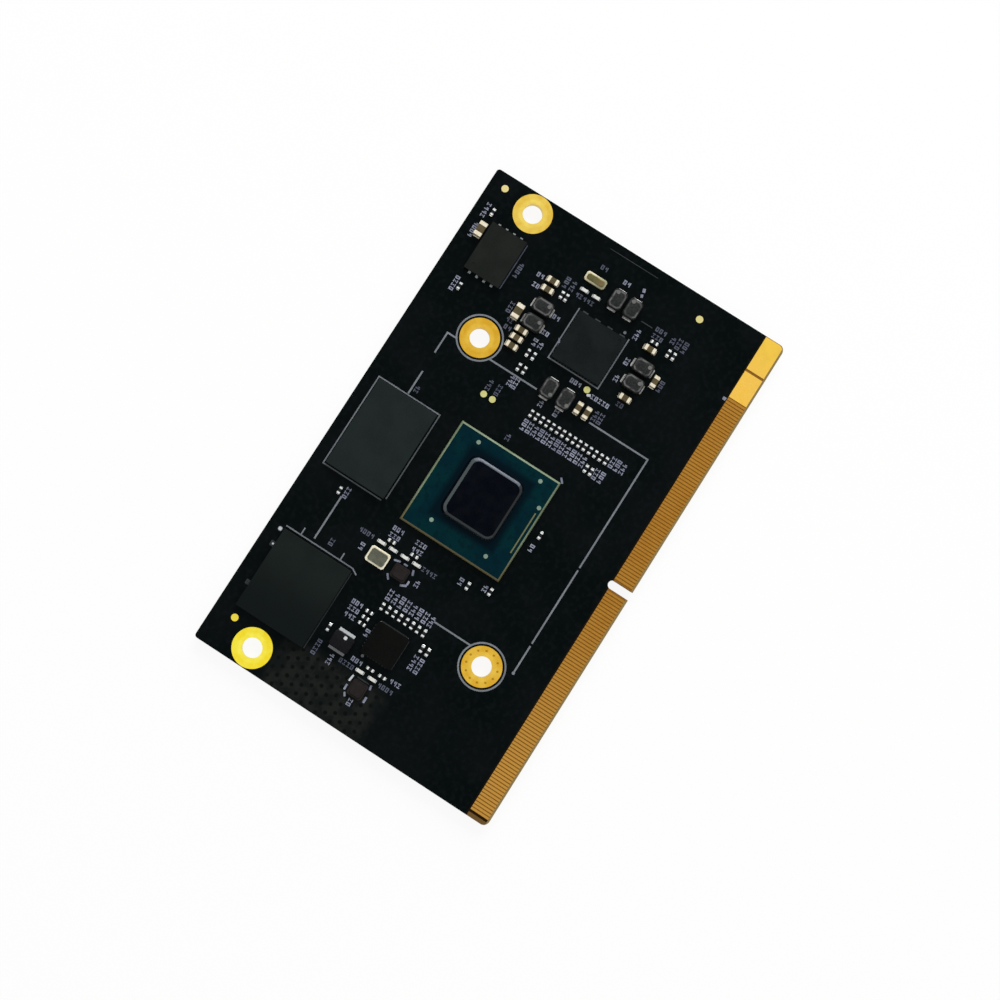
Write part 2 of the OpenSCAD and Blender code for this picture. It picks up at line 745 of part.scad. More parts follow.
// Leads round a square chip, and the heat pad in its middle
module quad_leads(side_l, at, count) {
  reach = lead_in + lead_out;
  for (turn = [0, 90, 180, 270]) translate([at.x, at.y, 0]) rotate(turn)
    for (i = [0 : count - 1])
      block(
        [reach, lead_w, lead_t],
        [side_l / 2 + lead_out - reach / 2, (i - (count - 1) / 2) * lead_pitch],
        deck
      );
  pad = side_l - 2 * (lead_in + heat_pad_gap);
  block([pad, pad, lead_t], at, deck);
}

module power_chip() {
  mark = power_l / 2 - power_dimple_in;
  color("#262a2a") flat_chip([power_l, power_l, power_t], power_at, [mark, -mark]);
}

module power_leads_and_pad() {
  color("silver") quad_leads(power_l, power_at, power_leads);
}

module network_chip() {
  mark = network_l / 2 - network_dimple_in;
  color("#2b2624") flat_chip([network_l, network_l, network_t], network_at, [-mark, mark]);
}

module network_leads_and_pad() {
  color("silver") quad_leads(network_l, network_at, network_leads);
}

// A moulded coil: cut corners, with its upper edges drawn in
module moulded_coil(l, w, h) {
  translate([0, 0, terminal_t]) hull() {
    linear_extrude(h - coil_edge) cut_rectangle(l, w, coil_corner);
    linear_extrude(h) cut_rectangle(l - 2 * coil_edge, w - 2 * coil_edge, coil_corner);
  }
}

module coil(i) {
  color("#3a3d3f") at_spots([coil_spots[i]], deck) moulded_coil(coil_l, coil_w, coil_h);
}

module coil_1() { coil(0); }
module coil_2() { coil(1); }
module coil_3() { coil(2); }
module coil_4() { coil(3); }
module coil_5() { coil(4); }
module coil_6() { coil(5); }
module coil_7() { coil(6); }
module coil_8() { coil(7); }

module coil_terminals() {
  color("silver") at_spots(coil_spots, deck) for (side = [-1, 1])
    block(
      [terminal_l, coil_w - 2 * coil_corner, terminal_t],
      [side * (coil_l / 2 + terminal_out - terminal_l / 2), 0],
      0
    );
}

module network_coil() {
  color("#2f2b2c") at_spots(network_coil_spots, deck)
    moulded_coil(network_coil_l, network_coil_w, network_coil_h);
}

module network_coil_terminals() {
  color("white") at_spots(network_coil_spots, deck) for (side = [-1, 1])
    block(
      [terminal_l, network_coil_w - 2 * coil_corner, terminal_t],
      [side * (network_coil_l / 2 + network_terminal_out - terminal_l / 2), 0],
      0
    );
}

// Base of a crystal with cut corners
module crystal_base(size, spots) {
  at_spots(spots, deck) linear_extrude(size.z) cut_rectangle(size.x, size.y, crystal_corner);
}

// Metal lid on a crystal's base
module crystal_lid(size, spots) {
  at_spots(spots, deck + size.z) linear_extrude(lid_t)
    cut_rectangle(size.x - 2 * lid_rim, size.y - 2 * lid_rim, crystal_corner);
}

module processor_crystal_base() { color("#f3e3a2") crystal_base(soc_crystal, soc_crystal_spots); }
module processor_crystal_lid() { color("#cdbf7c") crystal_lid(soc_crystal, soc_crystal_spots); }
module sound_crystal_base() { color("#3a3330") crystal_base(sound_crystal, sound_crystal_spots); }
module sound_crystal_lid() { color("#575150") crystal_lid(sound_crystal, sound_crystal_spots); }
module network_crystal_base() {
  color("#3a3330") crystal_base(network_crystal, network_crystal_spots);
}
module network_crystal_lid() {
  color("#575150") crystal_lid(network_crystal, network_crystal_spots);
}
module slow_crystal_base() { color("#f3e3a2") crystal_base(slow_crystal, slow_crystal_spots); }
module slow_crystal_lid() { color("#cdbf7c") crystal_lid(slow_crystal, slow_crystal_spots); }

module bulk_capacitor_bodies() {
  color("#6b4f3a") {
    at_spots(bulk_spots, deck) chip_body(bulk_size);
    at_spots(large_spots, deck) chip_body(large_size);
  }
}

module bulk_capacitor_ends() {
  color("silver") {
    at_spots(bulk_spots, deck) chip_ends(bulk_size);
    at_spots(large_spots, deck) chip_ends(large_size);
  }
}

module load_capacitor_bodies() { color("#e8e4da") at_spots(load_spots, deck) chip_body(small_size); }
module load_capacitor_ends() { color("silver") at_spots(load_spots, deck) chip_ends(small_size); }
module right_bank_bodies() { color("#22262a") at_spots(right_bank_spots, deck) chip_body(small_size); }
module right_bank_ends() { color("silver") at_spots(right_bank_spots, deck) chip_ends(small_size); }
module left_bank_bodies() { color("#22262a") at_spots(left_bank_spots, deck) chip_body(small_size); }
module left_bank_ends() { color("silver") at_spots(left_bank_spots, deck) chip_ends(small_size); }
module scattered_chip_bodies() { color("#22262a") at_spots(scattered_spots, deck) chip_body(small_size); }
module scattered_chip_ends() { color("silver") at_spots(scattered_spots, deck) chip_ends(small_size); }
module underside_capacitor_bodies() { color("#6b4f3a") at_spots(under_spots, 0) chip_body(under_size); }
module underside_capacitor_ends() { color("silver") at_spots(under_spots, 0) chip_ends(under_size); }

module test_pads() {
  spots = concat(
    around([soc_at.x + soc_l / 2, soc_at.y], [[5, 8, 0], [5, 6.5, 0]]),
    around(power_at, [[-5.3, -3.05, 0]])
  );
  color("#f4d35e") at_spots(spots, deck) cylinder(d = test_pad_d, h = pad_t);
}

module alignment_dots() {
  spots = concat(
    around([left, plain], [[5.4, -3.5, 0]]),
    around([right, plain], [[-2.1, -2.5, 0]]),
    around([right, contacts], [[-3.2, 12.9, 0]])
  );
  color("#f4d35e") at_spots(spots, deck) cylinder(d = alignment_d, h = pad_t);
}

// A straight printed line between two points, along X or Y
module printed_line(a, b, w = line_w) {
  low = [min(a.x, b.x) - w / 2, min(a.y, b.y) - w / 2];
  high = [max(a.x, b.x) + w / 2, max(a.y, b.y) + w / 2];
  translate([low.x, low.y, deck]) cube([high.x - low.x, high.y - low.y, ink_t]);
}

module printed_dot(at, d) {
  translate([at.x, at.y, deck]) cylinder(d = d, h = ink_t);
}

// Printed outline of the memory chip, open at its lower left corner
module memory_outline() {
  x = memory_l / 2 + outline_gap + outline_w / 2;
  y = memory_w / 2 + outline_gap + outline_w / 2;
  low = [memory_at.x - x, memory_at.y - y];
  high = [memory_at.x + x, memory_at.y + y];
  printed_line([low.x + memory_corner_open, low.y], [high.x, low.y], outline_w);
  printed_line([high.x, low.y], high, outline_w);
  printed_line([low.x, high.y], high, outline_w);
  printed_line([low.x, low.y + memory_corner_open], [low.x, high.y], outline_w);
}

// Printed outline of the power chip, dashed on its right side
module power_outline() {
  reach = power_l / 2 + outline_gap + outline_w / 2;
  low = [power_at.x - reach, power_at.y - reach];
  high = [power_at.x + reach, power_at.y + reach];
  printed_line(low, [high.x, low.y], outline_w);
  printed_line([low.x, high.y], high, outline_w);
  printed_line(low, [low.x, high.y], outline_w);
  for (i = [-1.5 : 1 : 1.5]) {
    y = power_at.y + i * dash_pitch;
    printed_line([high.x, y - dash_l / 2], [high.x, y + dash_l / 2], outline_w);
  }
}

// Printed line right of the storage chip, with two ticks and a slanted lower end
module storage_line() {
  x = storage_at.x + storage_l / 2 + storage_line_gap + outline_w / 2;
  top = storage_at.y + storage_w / 2;
  bottom = storage_at.y - storage_w / 2 + storage_line_rise;
  printed_line([x, bottom], [x, top], outline_w);
  for (y = [top - storage_ticks_in[0], bottom + storage_ticks_in[1]])
    printed_line([x, y], [x + storage_tick_l, y], outline_w);
  translate([x, bottom, deck]) rotate(-120)
    translate([0, -outline_w / 2, 0]) cube([storage_slant_l, outline_w, ink_t]);
}

// Dots at the chips' first leads: storage, power and network chip
module first_lead_dots() {
  printed_dot(storage_at + [storage_l, storage_w] / 2 + storage_dot_from, storage_dot_d);
  printed_dot(power_at + [power_l, -power_l] / 2 + power_dot_from, mark_dot_d);
  printed_dot(network_at + [-network_l, network_l] / 2 + network_dot_from, mark_dot_d);
}

// Printed ring round an inner hole
module printed_ring(at) {
  translate([at.x, at.y, deck]) difference() {
    cylinder(d = printed_ring_d, h = ink_t);
    translate([0, 0, -1]) cylinder(d = printed_ring_d - 2 * line_w, h = 2);
  }
}

// The cooling frame's lines, which stop short of the chips and break at the holes
module cooling_frame() {
  ring_r = printed_ring_d / 2 - line_w / 2;
  right_reach = sqrt(ring_r ^ 2 - (frame_right - inner_right_hole.x) ^ 2);
  left_reach = sqrt(ring_r ^ 2 - (frame_left - inner_left_hole.x) ^ 2);
  top_left = storage_at.x + storage_l / 2 + frame_past_storage;
  memory_left = memory_at.x - memory_l / 2;
  memory_right = memory_at.x + memory_l / 2;
  printed_line([top_left, frame_top], [memory_left - frame_before_memory, frame_top]);
  printed_line(
    [memory_right + frame_past_memory[0], frame_top], [memory_right + frame_past_memory[1], frame_top]
  );
  printed_line([frame_right - frame_at_corner, frame_top], [frame_right, frame_top]);
  printed_line([frame_right, frame_top], [frame_right, inner_right_hole.y + right_reach]);
  printed_line(
    [frame_right, power_at.y + frame_above_power], [frame_right, inner_right_hole.y - right_reach]
  );
  printed_line([frame_right, frame_bottom], [frame_right, power_at.y - frame_below_power]);
  printed_line(
    [frame_left, inner_left_hole.y + left_reach], [frame_left, network_at.y - frame_below_network]
  );
  printed_dot([frame_left, frame_bottom], mark_dot_d);
  difference() {
    printed_line([frame_left, frame_bottom], [frame_right, frame_bottom]);
    for (x = frame_breaks)
      block([frame_break_w, 2 * line_w, 1], [frame_left + x, frame_bottom], deck - ink_t);
  }
}

module printed_legend() {
  color("#c9ced0") {
    printed_ring(inner_right_hole);
    printed_ring(inner_left_hole);
    memory_outline();
    power_outline();
    storage_line();
    first_lead_dots();
    cooling_frame();
  }
}

circuit_board();
contacts_top_left();
contacts_top_right();
contacts_under_left();
contacts_under_right();
power_pads_top();
power_pads_under();
barrel_left_edge();
barrel_right_edge();
barrel_inner_left();
barrel_inner_right();
processor_substrate();
processor_marks();
processor_cap();
processor_balls();
memory_chip();
memory_balls();
storage_chip();
storage_balls();
flash_chip();
flash_leads();
power_chip();
power_leads_and_pad();
network_chip();
network_leads_and_pad();
coil_1();
coil_2();
coil_3();
coil_4();
coil_5();
coil_6();
coil_7();
coil_8();
coil_terminals();
network_coil();
network_coil_terminals();
processor_crystal_base();
processor_crystal_lid();
sound_crystal_base();
sound_crystal_lid();
network_crystal_base();
network_crystal_lid();
slow_crystal_base();
slow_crystal_lid();
bulk_capacitor_bodies();
bulk_capacitor_ends();
load_capacitor_bodies();
load_capacitor_ends();
right_bank_bodies();
right_bank_ends();
left_bank_bodies();
left_bank_ends();
scattered_chip_bodies();
scattered_chip_ends();
underside_capacitor_bodies();
underside_capacitor_ends();
test_pads();
alignment_dots();
printed_legend();
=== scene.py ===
import math

import bpy
from mathutils import Matrix, Vector


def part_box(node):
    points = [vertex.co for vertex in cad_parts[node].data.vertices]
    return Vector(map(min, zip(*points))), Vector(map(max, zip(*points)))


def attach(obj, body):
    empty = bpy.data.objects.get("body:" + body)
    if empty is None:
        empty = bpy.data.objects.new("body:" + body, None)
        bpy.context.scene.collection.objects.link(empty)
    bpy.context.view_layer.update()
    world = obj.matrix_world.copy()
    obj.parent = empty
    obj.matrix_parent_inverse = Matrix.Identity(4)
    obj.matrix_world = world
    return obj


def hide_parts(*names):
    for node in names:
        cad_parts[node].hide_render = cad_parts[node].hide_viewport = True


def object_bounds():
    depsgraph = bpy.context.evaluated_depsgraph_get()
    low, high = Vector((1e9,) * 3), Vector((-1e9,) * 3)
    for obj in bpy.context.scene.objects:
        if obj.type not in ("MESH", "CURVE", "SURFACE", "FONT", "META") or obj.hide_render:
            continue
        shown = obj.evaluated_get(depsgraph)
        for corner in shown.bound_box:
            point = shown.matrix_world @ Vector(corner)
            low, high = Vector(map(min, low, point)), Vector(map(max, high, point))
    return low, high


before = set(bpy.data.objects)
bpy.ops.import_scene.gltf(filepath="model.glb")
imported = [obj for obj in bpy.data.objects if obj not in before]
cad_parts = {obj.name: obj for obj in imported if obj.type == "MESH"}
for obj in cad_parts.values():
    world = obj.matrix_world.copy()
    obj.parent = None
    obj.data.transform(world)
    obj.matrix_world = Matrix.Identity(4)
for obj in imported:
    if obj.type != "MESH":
        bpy.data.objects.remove(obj)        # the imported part, which stays where it is
cadLow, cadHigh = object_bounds()
mm = 0.001


# Small helpers for objects and meshes

def deselectAll():
    if bpy.context.object and bpy.context.object.mode != "OBJECT":
        bpy.ops.object.mode_set(mode="OBJECT")
    bpy.ops.object.select_all(action="DESELECT")


def makeActive(piece):
    deselectAll()
    bpy.context.view_layer.objects.active = piece
    piece.select_set(True)


def placeAt(spot, angle, sizes):
    # The matrix that scales, then turns about Z, then moves
    return Matrix.Translation(spot) @ Matrix.Rotation(angle, 4, "Z") @ Matrix.Diagonal((*sizes, 1))


def startCube(name, size, place):
    # A cube of that size, in metres, whose mesh holds its place
    deselectAll()
    bpy.ops.mesh.primitive_cube_add(size=1, location=(0, 0, 0))
    cube = bpy.context.object
    cube.name = name
    cube.data.transform(placeAt(place, 0, size))
    return cube


def startCylinder(name, radius, depth, place, sides):
    deselectAll()
    bpy.ops.mesh.primitive_cylinder_add(radius=radius, depth=depth, vertices=sides, location=(0, 0, 0))
    drum = bpy.context.object
    drum.name = name
    drum.data.transform(Matrix.Translation(place))
    return drum


def clearPicked(piece, kind):
    # Leaves nothing selected in the mesh, and that kind of element to be picked
    makeActive(piece)
    bpy.ops.object.mode_set(mode="EDIT")
    bpy.ops.mesh.select_mode(type=kind)
    bpy.ops.mesh.select_all(action="DESELECT")
    bpy.ops.object.mode_set(mode="OBJECT")


def leaveEditing():
    bpy.ops.object.mode_set(mode="OBJECT")


def bevelEdges(piece, wanted, offset, segments, profile=0.5):
    # Rounds the edges whose two ends pass the test
    clearPicked(piece, "EDGE")
    points = piece.data.vertices
    for edge in piece.data.edges:
        edge.select = wanted(points[edge.vertices[0]].co, points[edge.vertices[1]].co)
    bpy.ops.object.mode_set(mode="EDIT")
    bpy.ops.mesh.bevel(offset=offset, segments=segments, profile=profile)
    leaveEditing()


def upright(a, b):
    # The test for edges that stand straight up
    return abs(a.z - b.z) > max(abs(a.x - b.x), abs(a.y - b.y))


def alongTop(piece):
    # The test for the edges at the top of that piece
    least = max(point.co.z for point in piece.data.vertices) - 0.01 * mm
    return lambda a, b: min(a.z, b.z) > least


def pickFaces(piece, wanted):
    # Selects the faces whose normal passes the test, and leaves the piece in edit mode
    clearPicked(piece, "FACE")
    for face in piece.data.polygons:
        face.select = wanted(face.normal)
    bpy.ops.object.mode_set(mode="EDIT")


def smoothByAngle(piece, degrees):
    makeActive(piece)
    bpy.ops.object.shade_smooth_by_angle(angle=math.radians(degrees))


def joinPieces(parts, name):
    deselectAll()
    for part in parts:
        part.select_set(True)
    bpy.context.view_layer.objects.active = parts[0]
    bpy.ops.object.join()
    joined = bpy.context.object
    joined.name = name
    return joined


def copiesOf(master, name, places):
    # One piece out of a copy of the master for each matrix, each with its own mesh
    copies = []
    for place in places:
        copy = master.copy()
        copy.data = master.data.copy()
        copy.data.transform(place)
        bpy.context.scene.collection.objects.link(copy)
        copies.append(copy)
    return joinPieces(copies, name)


def finishPiece(piece, material, slotName, *replaced):
    if not piece.data.materials:
        piece.data.materials.append(material)
    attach(piece, "root")
    if replaced:
        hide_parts(*replaced)


def boxOf(nodeName):
    low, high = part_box(nodeName)
    return (low + high) / 2, high - low


def solidBoxes(nodeName):
    # The box of each separate solid in a node, as centre and size in metres
    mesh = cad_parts[nodeName].data
    keys = [tuple(round(c / mm, 3) for c in v.co) for v in mesh.vertices]
    parent = {key: key for key in keys}

    def rootOf(key):
        while parent[key] != key:
            key = parent[key]
        return key

    for face in mesh.polygons:
        first = rootOf(keys[face.vertices[0]])
        for corner in face.vertices[1:]:
            parent[rootOf(keys[corner])] = first
    groups = {}
    for key in parent:
        groups.setdefault(rootOf(key), []).append(key)
    boxes = []
    for points in groups.values():
        low = Vector([min(p[i] for p in points) for i in range(3)]) * mm
        high = Vector([max(p[i] for p in points) for i in range(3)]) * mm
        boxes.append(((low + high) / 2, high - low))
    return sorted(boxes, key=lambda b: (round(b[0].x, 5), round(b[0].y, 5), b[0].z))


# Small helpers for shader nodes

def paint(red, green, blue):
    # A colour as a screen shows it, 0 to 255, in the renderer's own scale
    def linear(level):
        share = level / 255
        return share / 12.92 if share < 0.04045 else ((share + 0.055) / 1.055) ** 2.4
    return linear(red), linear(green), linear(blue), 1


def tones(main, cloud, grain):
    # The three colours of a speckled finish
    return {"color": paint(*main), "cloudColor": paint(*cloud), "grainColor": paint(*grain)}


def plug(tree, value, socket):
    # Joins another socket to this one, or gives it a number or a colour
    if isinstance(value, bpy.types.NodeSocket):
        tree.links.new(value, socket)
    elif value is not None:
        socket.default_value = value


def addMath(tree, operation, first, second=None):
    node = tree.nodes.new("ShaderNodeMath")
    node.operation = operation
    plug(tree, first, node.inputs[0])
    plug(tree, second, node.inputs[1])
    return node.outputs[0]


def addMix(tree, factor, under, over):
    # Lays the colour over on the colour under, where the factor is 1
    node = tree.nodes.new("ShaderNodeMix")
    node.data_type = "RGBA"
    for index, value in ((0, factor), (6, under), (7, over)):
        plug(tree, value, node.inputs[index])
    return node.outputs[2]


def addPlace(tree):
    # Object coordinates in millimetres: the vector and its three parts
    coordinates = tree.nodes.new("ShaderNodeTexCoord")
    scale = tree.nodes.new("ShaderNodeVectorMath")
    scale.operation = "SCALE"
    scale.inputs["Scale"].default_value = 1 / mm
    tree.links.new(coordinates.outputs["Object"], scale.inputs[0])
    parts = tree.nodes.new("ShaderNodeSeparateXYZ")
    tree.links.new(scale.outputs[0], parts.inputs[0])
    return scale.outputs[0], parts.outputs[0], parts.outputs[1], parts.outputs[2]


def addNoise(tree, place, perMm, detail=3.0):
    noise = tree.nodes.new("ShaderNodeTexNoise")
    noise.inputs["Scale"].default_value = perMm
    noise.inputs["Detail"].default_value = detail
    tree.links.new(place, noise.inputs["Vector"])
    return noise.outputs["Fac"]


def addRange(tree, value, low, high, toLow=0.0, toHigh=1.0):
    node = tree.nodes.new("ShaderNodeMapRange")
    node.interpolation_type = "SMOOTHSTEP"
    tree.links.new(value, node.inputs["Value"])
    for name, number in (("From Min", low), ("From Max", high), ("To Min", toLow), ("To Max", toHigh)):
        node.inputs[name].default_value = number
    return node.outputs[0]


def addClouds(tree, place, perMm, *levels):
    # Noise drawn apart: the first level becomes 0 and the second 1, or the two numbers after them
    return addRange(tree, addNoise(tree, place, perMm), *levels)


def addLength(tree, first, second):
    # How long the flat vector of two numbers is
    squares = addMath(tree, "ADD", addMath(tree, "POWER", first, 2), addMath(tree, "POWER", second, 2))
    return addMath(tree, "SQRT", squares)


def addOff(tree, value, middle):
    # How far the value lies from a middle, to either side
    return addMath(tree, "ABSOLUTE", addMath(tree, "SUBTRACT", value, middle))


spareCells = 100        # added to each count of cells, so that none is negative


def addCell(tree, value, pitch):
    # Distance from the middle of the cell that the value lies in
    cells = addMath(tree, "ADD", addMath(tree, "DIVIDE", value, pitch), spareCells)
    return addMath(tree, "MULTIPLY", addMath(tree, "SUBTRACT", addMath(tree, "FRACT", cells), 0.5), pitch)


def addField(tree, x, y, left, right, bottom, top):
    # 1 inside the field between two places in x and two in y
    insideX = addMath(tree, "LESS_THAN", addOff(tree, x, (left + right) / 2), (right - left) / 2)
    insideY = addMath(tree, "LESS_THAN", addOff(tree, y, (bottom + top) / 2), (top - bottom) / 2)
    return addMath(tree, "MULTIPLY", insideX, insideY)


def newMaterial(name, look):
    material = bpy.data.materials.new(name)
    material.use_nodes = True
    shader = material.node_tree.nodes["Principled BSDF"]
    shader.inputs["Metallic"].default_value = look["metallic"]
    shader.inputs["Specular IOR Level"].default_value = look["specular"]
    return material, material.node_tree, shader


def addSurface(tree, shader, color, roughness, height, look):
    # Joins colour, roughness and bump to the shader
    plug(tree, color, shader.inputs["Base Color"])
    plug(tree, roughness, shader.inputs["Roughness"])
    bump = tree.nodes.new("ShaderNodeBump")
    bump.inputs["Strength"].default_value = look["bump"]
    bump.inputs["Distance"].default_value = look["bumpDepth"] * mm
    tree.links.new(height, bump.inputs["Height"])
    tree.links.new(bump.outputs[0], shader.inputs["Normal"])


speckles = {"clouds": (0.35, 0.65), "grain": (0.3, 0.7), "roughSpread": 0.04}


def speckledFinish(name, look):
    # A finish with two noises: soft clouds of colour, and a fine grain that also lifts the surface
    material, tree, shader = newMaterial(name, look)
    place, *parts = addPlace(tree)
    clouds = addClouds(tree, place, look["cloudsPerMm"], *speckles["clouds"])
    grain = addClouds(tree, place, look["grainPerMm"], *speckles["grain"])
    color = addMix(tree, clouds, look["color"], look["cloudColor"])
    color = addMix(tree, addMath(tree, "MULTIPLY", grain, look["grainShare"]), color, look["grainColor"])
    if "fade" in look:        # goes over to another tone along one axis, from the first place to the second
        axis, first, second, tone = look["fade"]
        color = addMix(tree, addRange(tree, parts[axis], first, second), color, tone)
    for *edges, share, tone in look.get("fields", ()):        # thinner, darker or brighter places; on the cap's rim, painted highlight and painted shade
        field = addField(tree, parts[0], parts[1], *edges)
        color = addMix(tree, addMath(tree, "MULTIPLY", field, share), color, tone)
    spread = speckles["roughSpread"]
    rough = addRange(tree, clouds, 0, 1, look["roughness"] - spread, look["roughness"] + spread)
    addSurface(tree, shader, color, rough, grain, look)
    return material


# Finishes of one colour family each

mouldLook = {
    "metallic": 0, "specular": 0.05, "roughness": 0.5, **tones((24, 32, 31), (28, 36, 35), (36, 43, 42)),
    "grainShare": 0.35, "cloudsPerMm": 0.3, "grainPerMm": 9, "bump": 0.25, "bumpDepth": 0.02,
}
chipLooks = {
    "memory_chip": mouldLook,
    "storage_chip": dict(
        mouldLook, **tones((17, 24, 23), (22, 29, 27), (30, 36, 34)), cloudsPerMm=0.16,
        fade=(0, -23, -32, paint(11, 17, 17)),
    ),
    "flash_chip": dict(mouldLook, **tones((20, 24, 21), (27, 30, 27), (36, 39, 36))),
    "power_chip": dict(mouldLook, **tones((12, 17, 18), (20, 25, 26), (30, 35, 36))),
    "network_chip": dict(mouldLook, **tones((3, 5, 4), (10, 11, 9), (20, 21, 19)), specular=0.03),
    "network_coil": dict(mouldLook, **tones((12, 12, 14), (21, 21, 23), (36, 36, 39)), grainPerMm=5),
}
solderLook = {
    "metallic": 1, "specular": 0.5, "roughness": 0.34,
    **tones((236, 238, 236), (216, 219, 219), (172, 175, 176)),
    "grainShare": 0.35, "cloudsPerMm": 1.5, "grainPerMm": 7, "bump": 0.3, "bumpDepth": 0.03,
}
contactGoldLook = {
    "metallic": 1, "specular": 0.5, "roughness": 0.44,
    **tones((164, 116, 44), (154, 106, 36), (178, 132, 60)),
    "grainShare": 0.3, "cloudsPerMm": 0.25, "grainPerMm": 5, "bump": 0.15, "bumpDepth": 0.02,
    "fade": (0, 0, -38, paint(180, 134, 60)),
}
padGoldLook = dict(
    contactGoldLook, **tones((226, 182, 78), (218, 174, 68), (232, 194, 98)), cloudsPerMm=0.5,
    fade=(0, 34, 40, paint(218, 180, 70)),
)
brownCapacitorLook = {
    "metallic": 0, "specular": 0.2, "roughness": 0.5, **tones((64, 58, 34), (86, 74, 46), (104, 92, 64)),
    "grainShare": 0.4, "cloudsPerMm": 1, "grainPerMm": 10, "bump": 0.2, "bumpDepth": 0.02,
}
crystalRimLook = {
    "metallic": 0.35, "specular": 0.5, "roughness": 0.42,
    **tones((238, 232, 204), (220, 210, 174), (246, 242, 226)),
    "grainShare": 0.35, "cloudsPerMm": 1.2, "grainPerMm": 6, "bump": 0.2, "bumpDepth": 0.02,
}
crystalLidLook = dict(
    crystalRimLook, **tones((90, 92, 80), (76, 78, 70), (116, 116, 100)), metallic=1, roughness=0.4,
)
inkLook = {
    "metallic": 0, "specular": 0.1, "roughness": 0.6,
    **tones((134, 139, 144), (122, 127, 133), (90, 95, 102)),
    "grainShare": 0.45, "cloudsPerMm": 0.4, "grainPerMm": 5, "bump": 0.2, "bumpDepth": 0.01,
    # Thin print: the dashed side of the power outline, and two sides of the memory outline
    "fields": [
        (29.3, 29.9, -4.4, 3.1, 0.8, paint(44, 48, 50)), (-10.1, -9.7, 12.2, 23.2, 0.5, paint(60, 64, 62)),
        (-10.1, 5.4, 12.2, 12.6, 0.5, paint(60, 64, 62)),
    ],
}
looks = {
    "capTop": dict(mouldLook, **tones((0, 2, 8), (6, 9, 15), (15, 18, 25)), specular=0.02, cloudsPerMm=0.5),
    "capRimSheen": dict(
        mouldLook, **tones((22, 28, 32), (28, 35, 39), (42, 48, 52)), specular=0.3, roughness=0.28,
        # A painted sheen, paler than the top; painted highlight along the +Y and +X sides, and painted shade
        # along the -Y side
        fields=[
            (-6.4, 2.3, 4.1, 5.6, 1, paint(60, 70, 72)), (2.3, 3.9, -2.9, 4.9, 1, paint(84, 92, 102)),
            (-5.6, 2.6, -4.2, -3.2, 1, paint(12, 18, 20)),
        ],
    ),
    "solder": solderLook,
    "coilEnd": dict(
        solderLook, **tones((196, 196, 192), (150, 150, 148), (104, 104, 102)), metallic=0.4, roughness=0.45,
    ),
    "creamEnd": dict(solderLook, **tones((238, 231, 212), (222, 212, 186), (190, 176, 142)), metallic=0.7),
    "dullLead": dict(solderLook, **tones((46, 48, 48), (36, 38, 38), (66, 68, 68)), roughness=0.5),
    "flashLead": dict(solderLook, **tones((152, 156, 158), (128, 131, 134), (104, 106, 108))),
    "contactGold": contactGoldLook,
    "padGold": padGoldLook,
    "dotGold": dict(
        padGoldLook, **tones((194, 194, 128), (180, 176, 106), (208, 212, 166)),
        fade=(0, 34, 40, paint(203, 188, 129)), fields=[(-38, -33, 18, 24, 0.9, paint(228, 208, 62))],
    ),
    "markGold": dict(
        padGoldLook, **tones((122, 144, 130), (108, 128, 112), (150, 168, 154)), metallic=0.5,
        fields=[(-6.4, 0.7, -7.2, -6.8, 1, paint(100, 104, 68))],
    ),
    "brownCapacitor": brownCapacitorLook,
    "paleCapacitor": dict(
        brownCapacitorLook, **tones((214, 216, 212), (232, 232, 226), (190, 190, 184)), grainShare=0.25,
    ),
    "resistor": dict(
        brownCapacitorLook, **tones((20, 23, 26), (30, 33, 36), (44, 47, 50)), specular=0.1, roughness=0.4,
    ),
    "crystalRim": crystalRimLook,
    "crystalLid": crystalLidLook,
    "slowRim": dict(
        crystalRimLook, **tones((212, 204, 172), (192, 182, 144), (230, 224, 198)),
        fade=(1, 4.6, 2.4, paint(148, 148, 118)),
    ),
    "slowLid": dict(
        crystalLidLook, **tones((90, 86, 54), (76, 72, 46), (120, 114, 78)),
        fade=(1, 4.4, 2.4, paint(112, 98, 66)),
    ),
    "darkCrystal": dict(mouldLook, **tones((28, 25, 25), (36, 32, 31), (52, 47, 46))),
    "darkLid": dict(mouldLook, **tones((32, 28, 28), (40, 35, 35), (50, 45, 44)), cloudsPerMm=1),
    "ink": inkLook,
    "mark": dict(inkLook, **tones((158, 162, 178), (126, 130, 148), (92, 96, 112)), cloudsPerMm=0.9),
    "dimMark": dict(inkLook, **tones((98, 103, 118), (76, 80, 94), (56, 60, 72)), cloudsPerMm=0.9),
    "faintInk": dict(inkLook, **tones((60, 64, 66), (50, 54, 56), (34, 38, 40))),
    "brightInk": dict(
        inkLook, **tones((220, 224, 226), (204, 208, 212), (170, 174, 180)),
        fields=[(-32, -30.9, 5, 8.2, 0.6, paint(64, 66, 68))],
    ),
    "substrateRim": dict(
        inkLook, **tones((132, 148, 122), (114, 128, 98), (92, 104, 76)), specular=0.25, roughness=0.45,
        # The fade darker towards -X is painted shade on that side of the cut edge
        fields=[], fade=(0, -4, -10.6, paint(94, 88, 56)),
    ),
    "coilDot": dict(inkLook, **tones((120, 121, 117), (106, 107, 104), (84, 85, 83)), fields=[]),
}
chipFinishes = {name: speckledFinish(f"finish_{name}", look) for name, look in chipLooks.items()}
finishes = {name: speckledFinish(f"{name}Finish", look) for name, look in looks.items()}
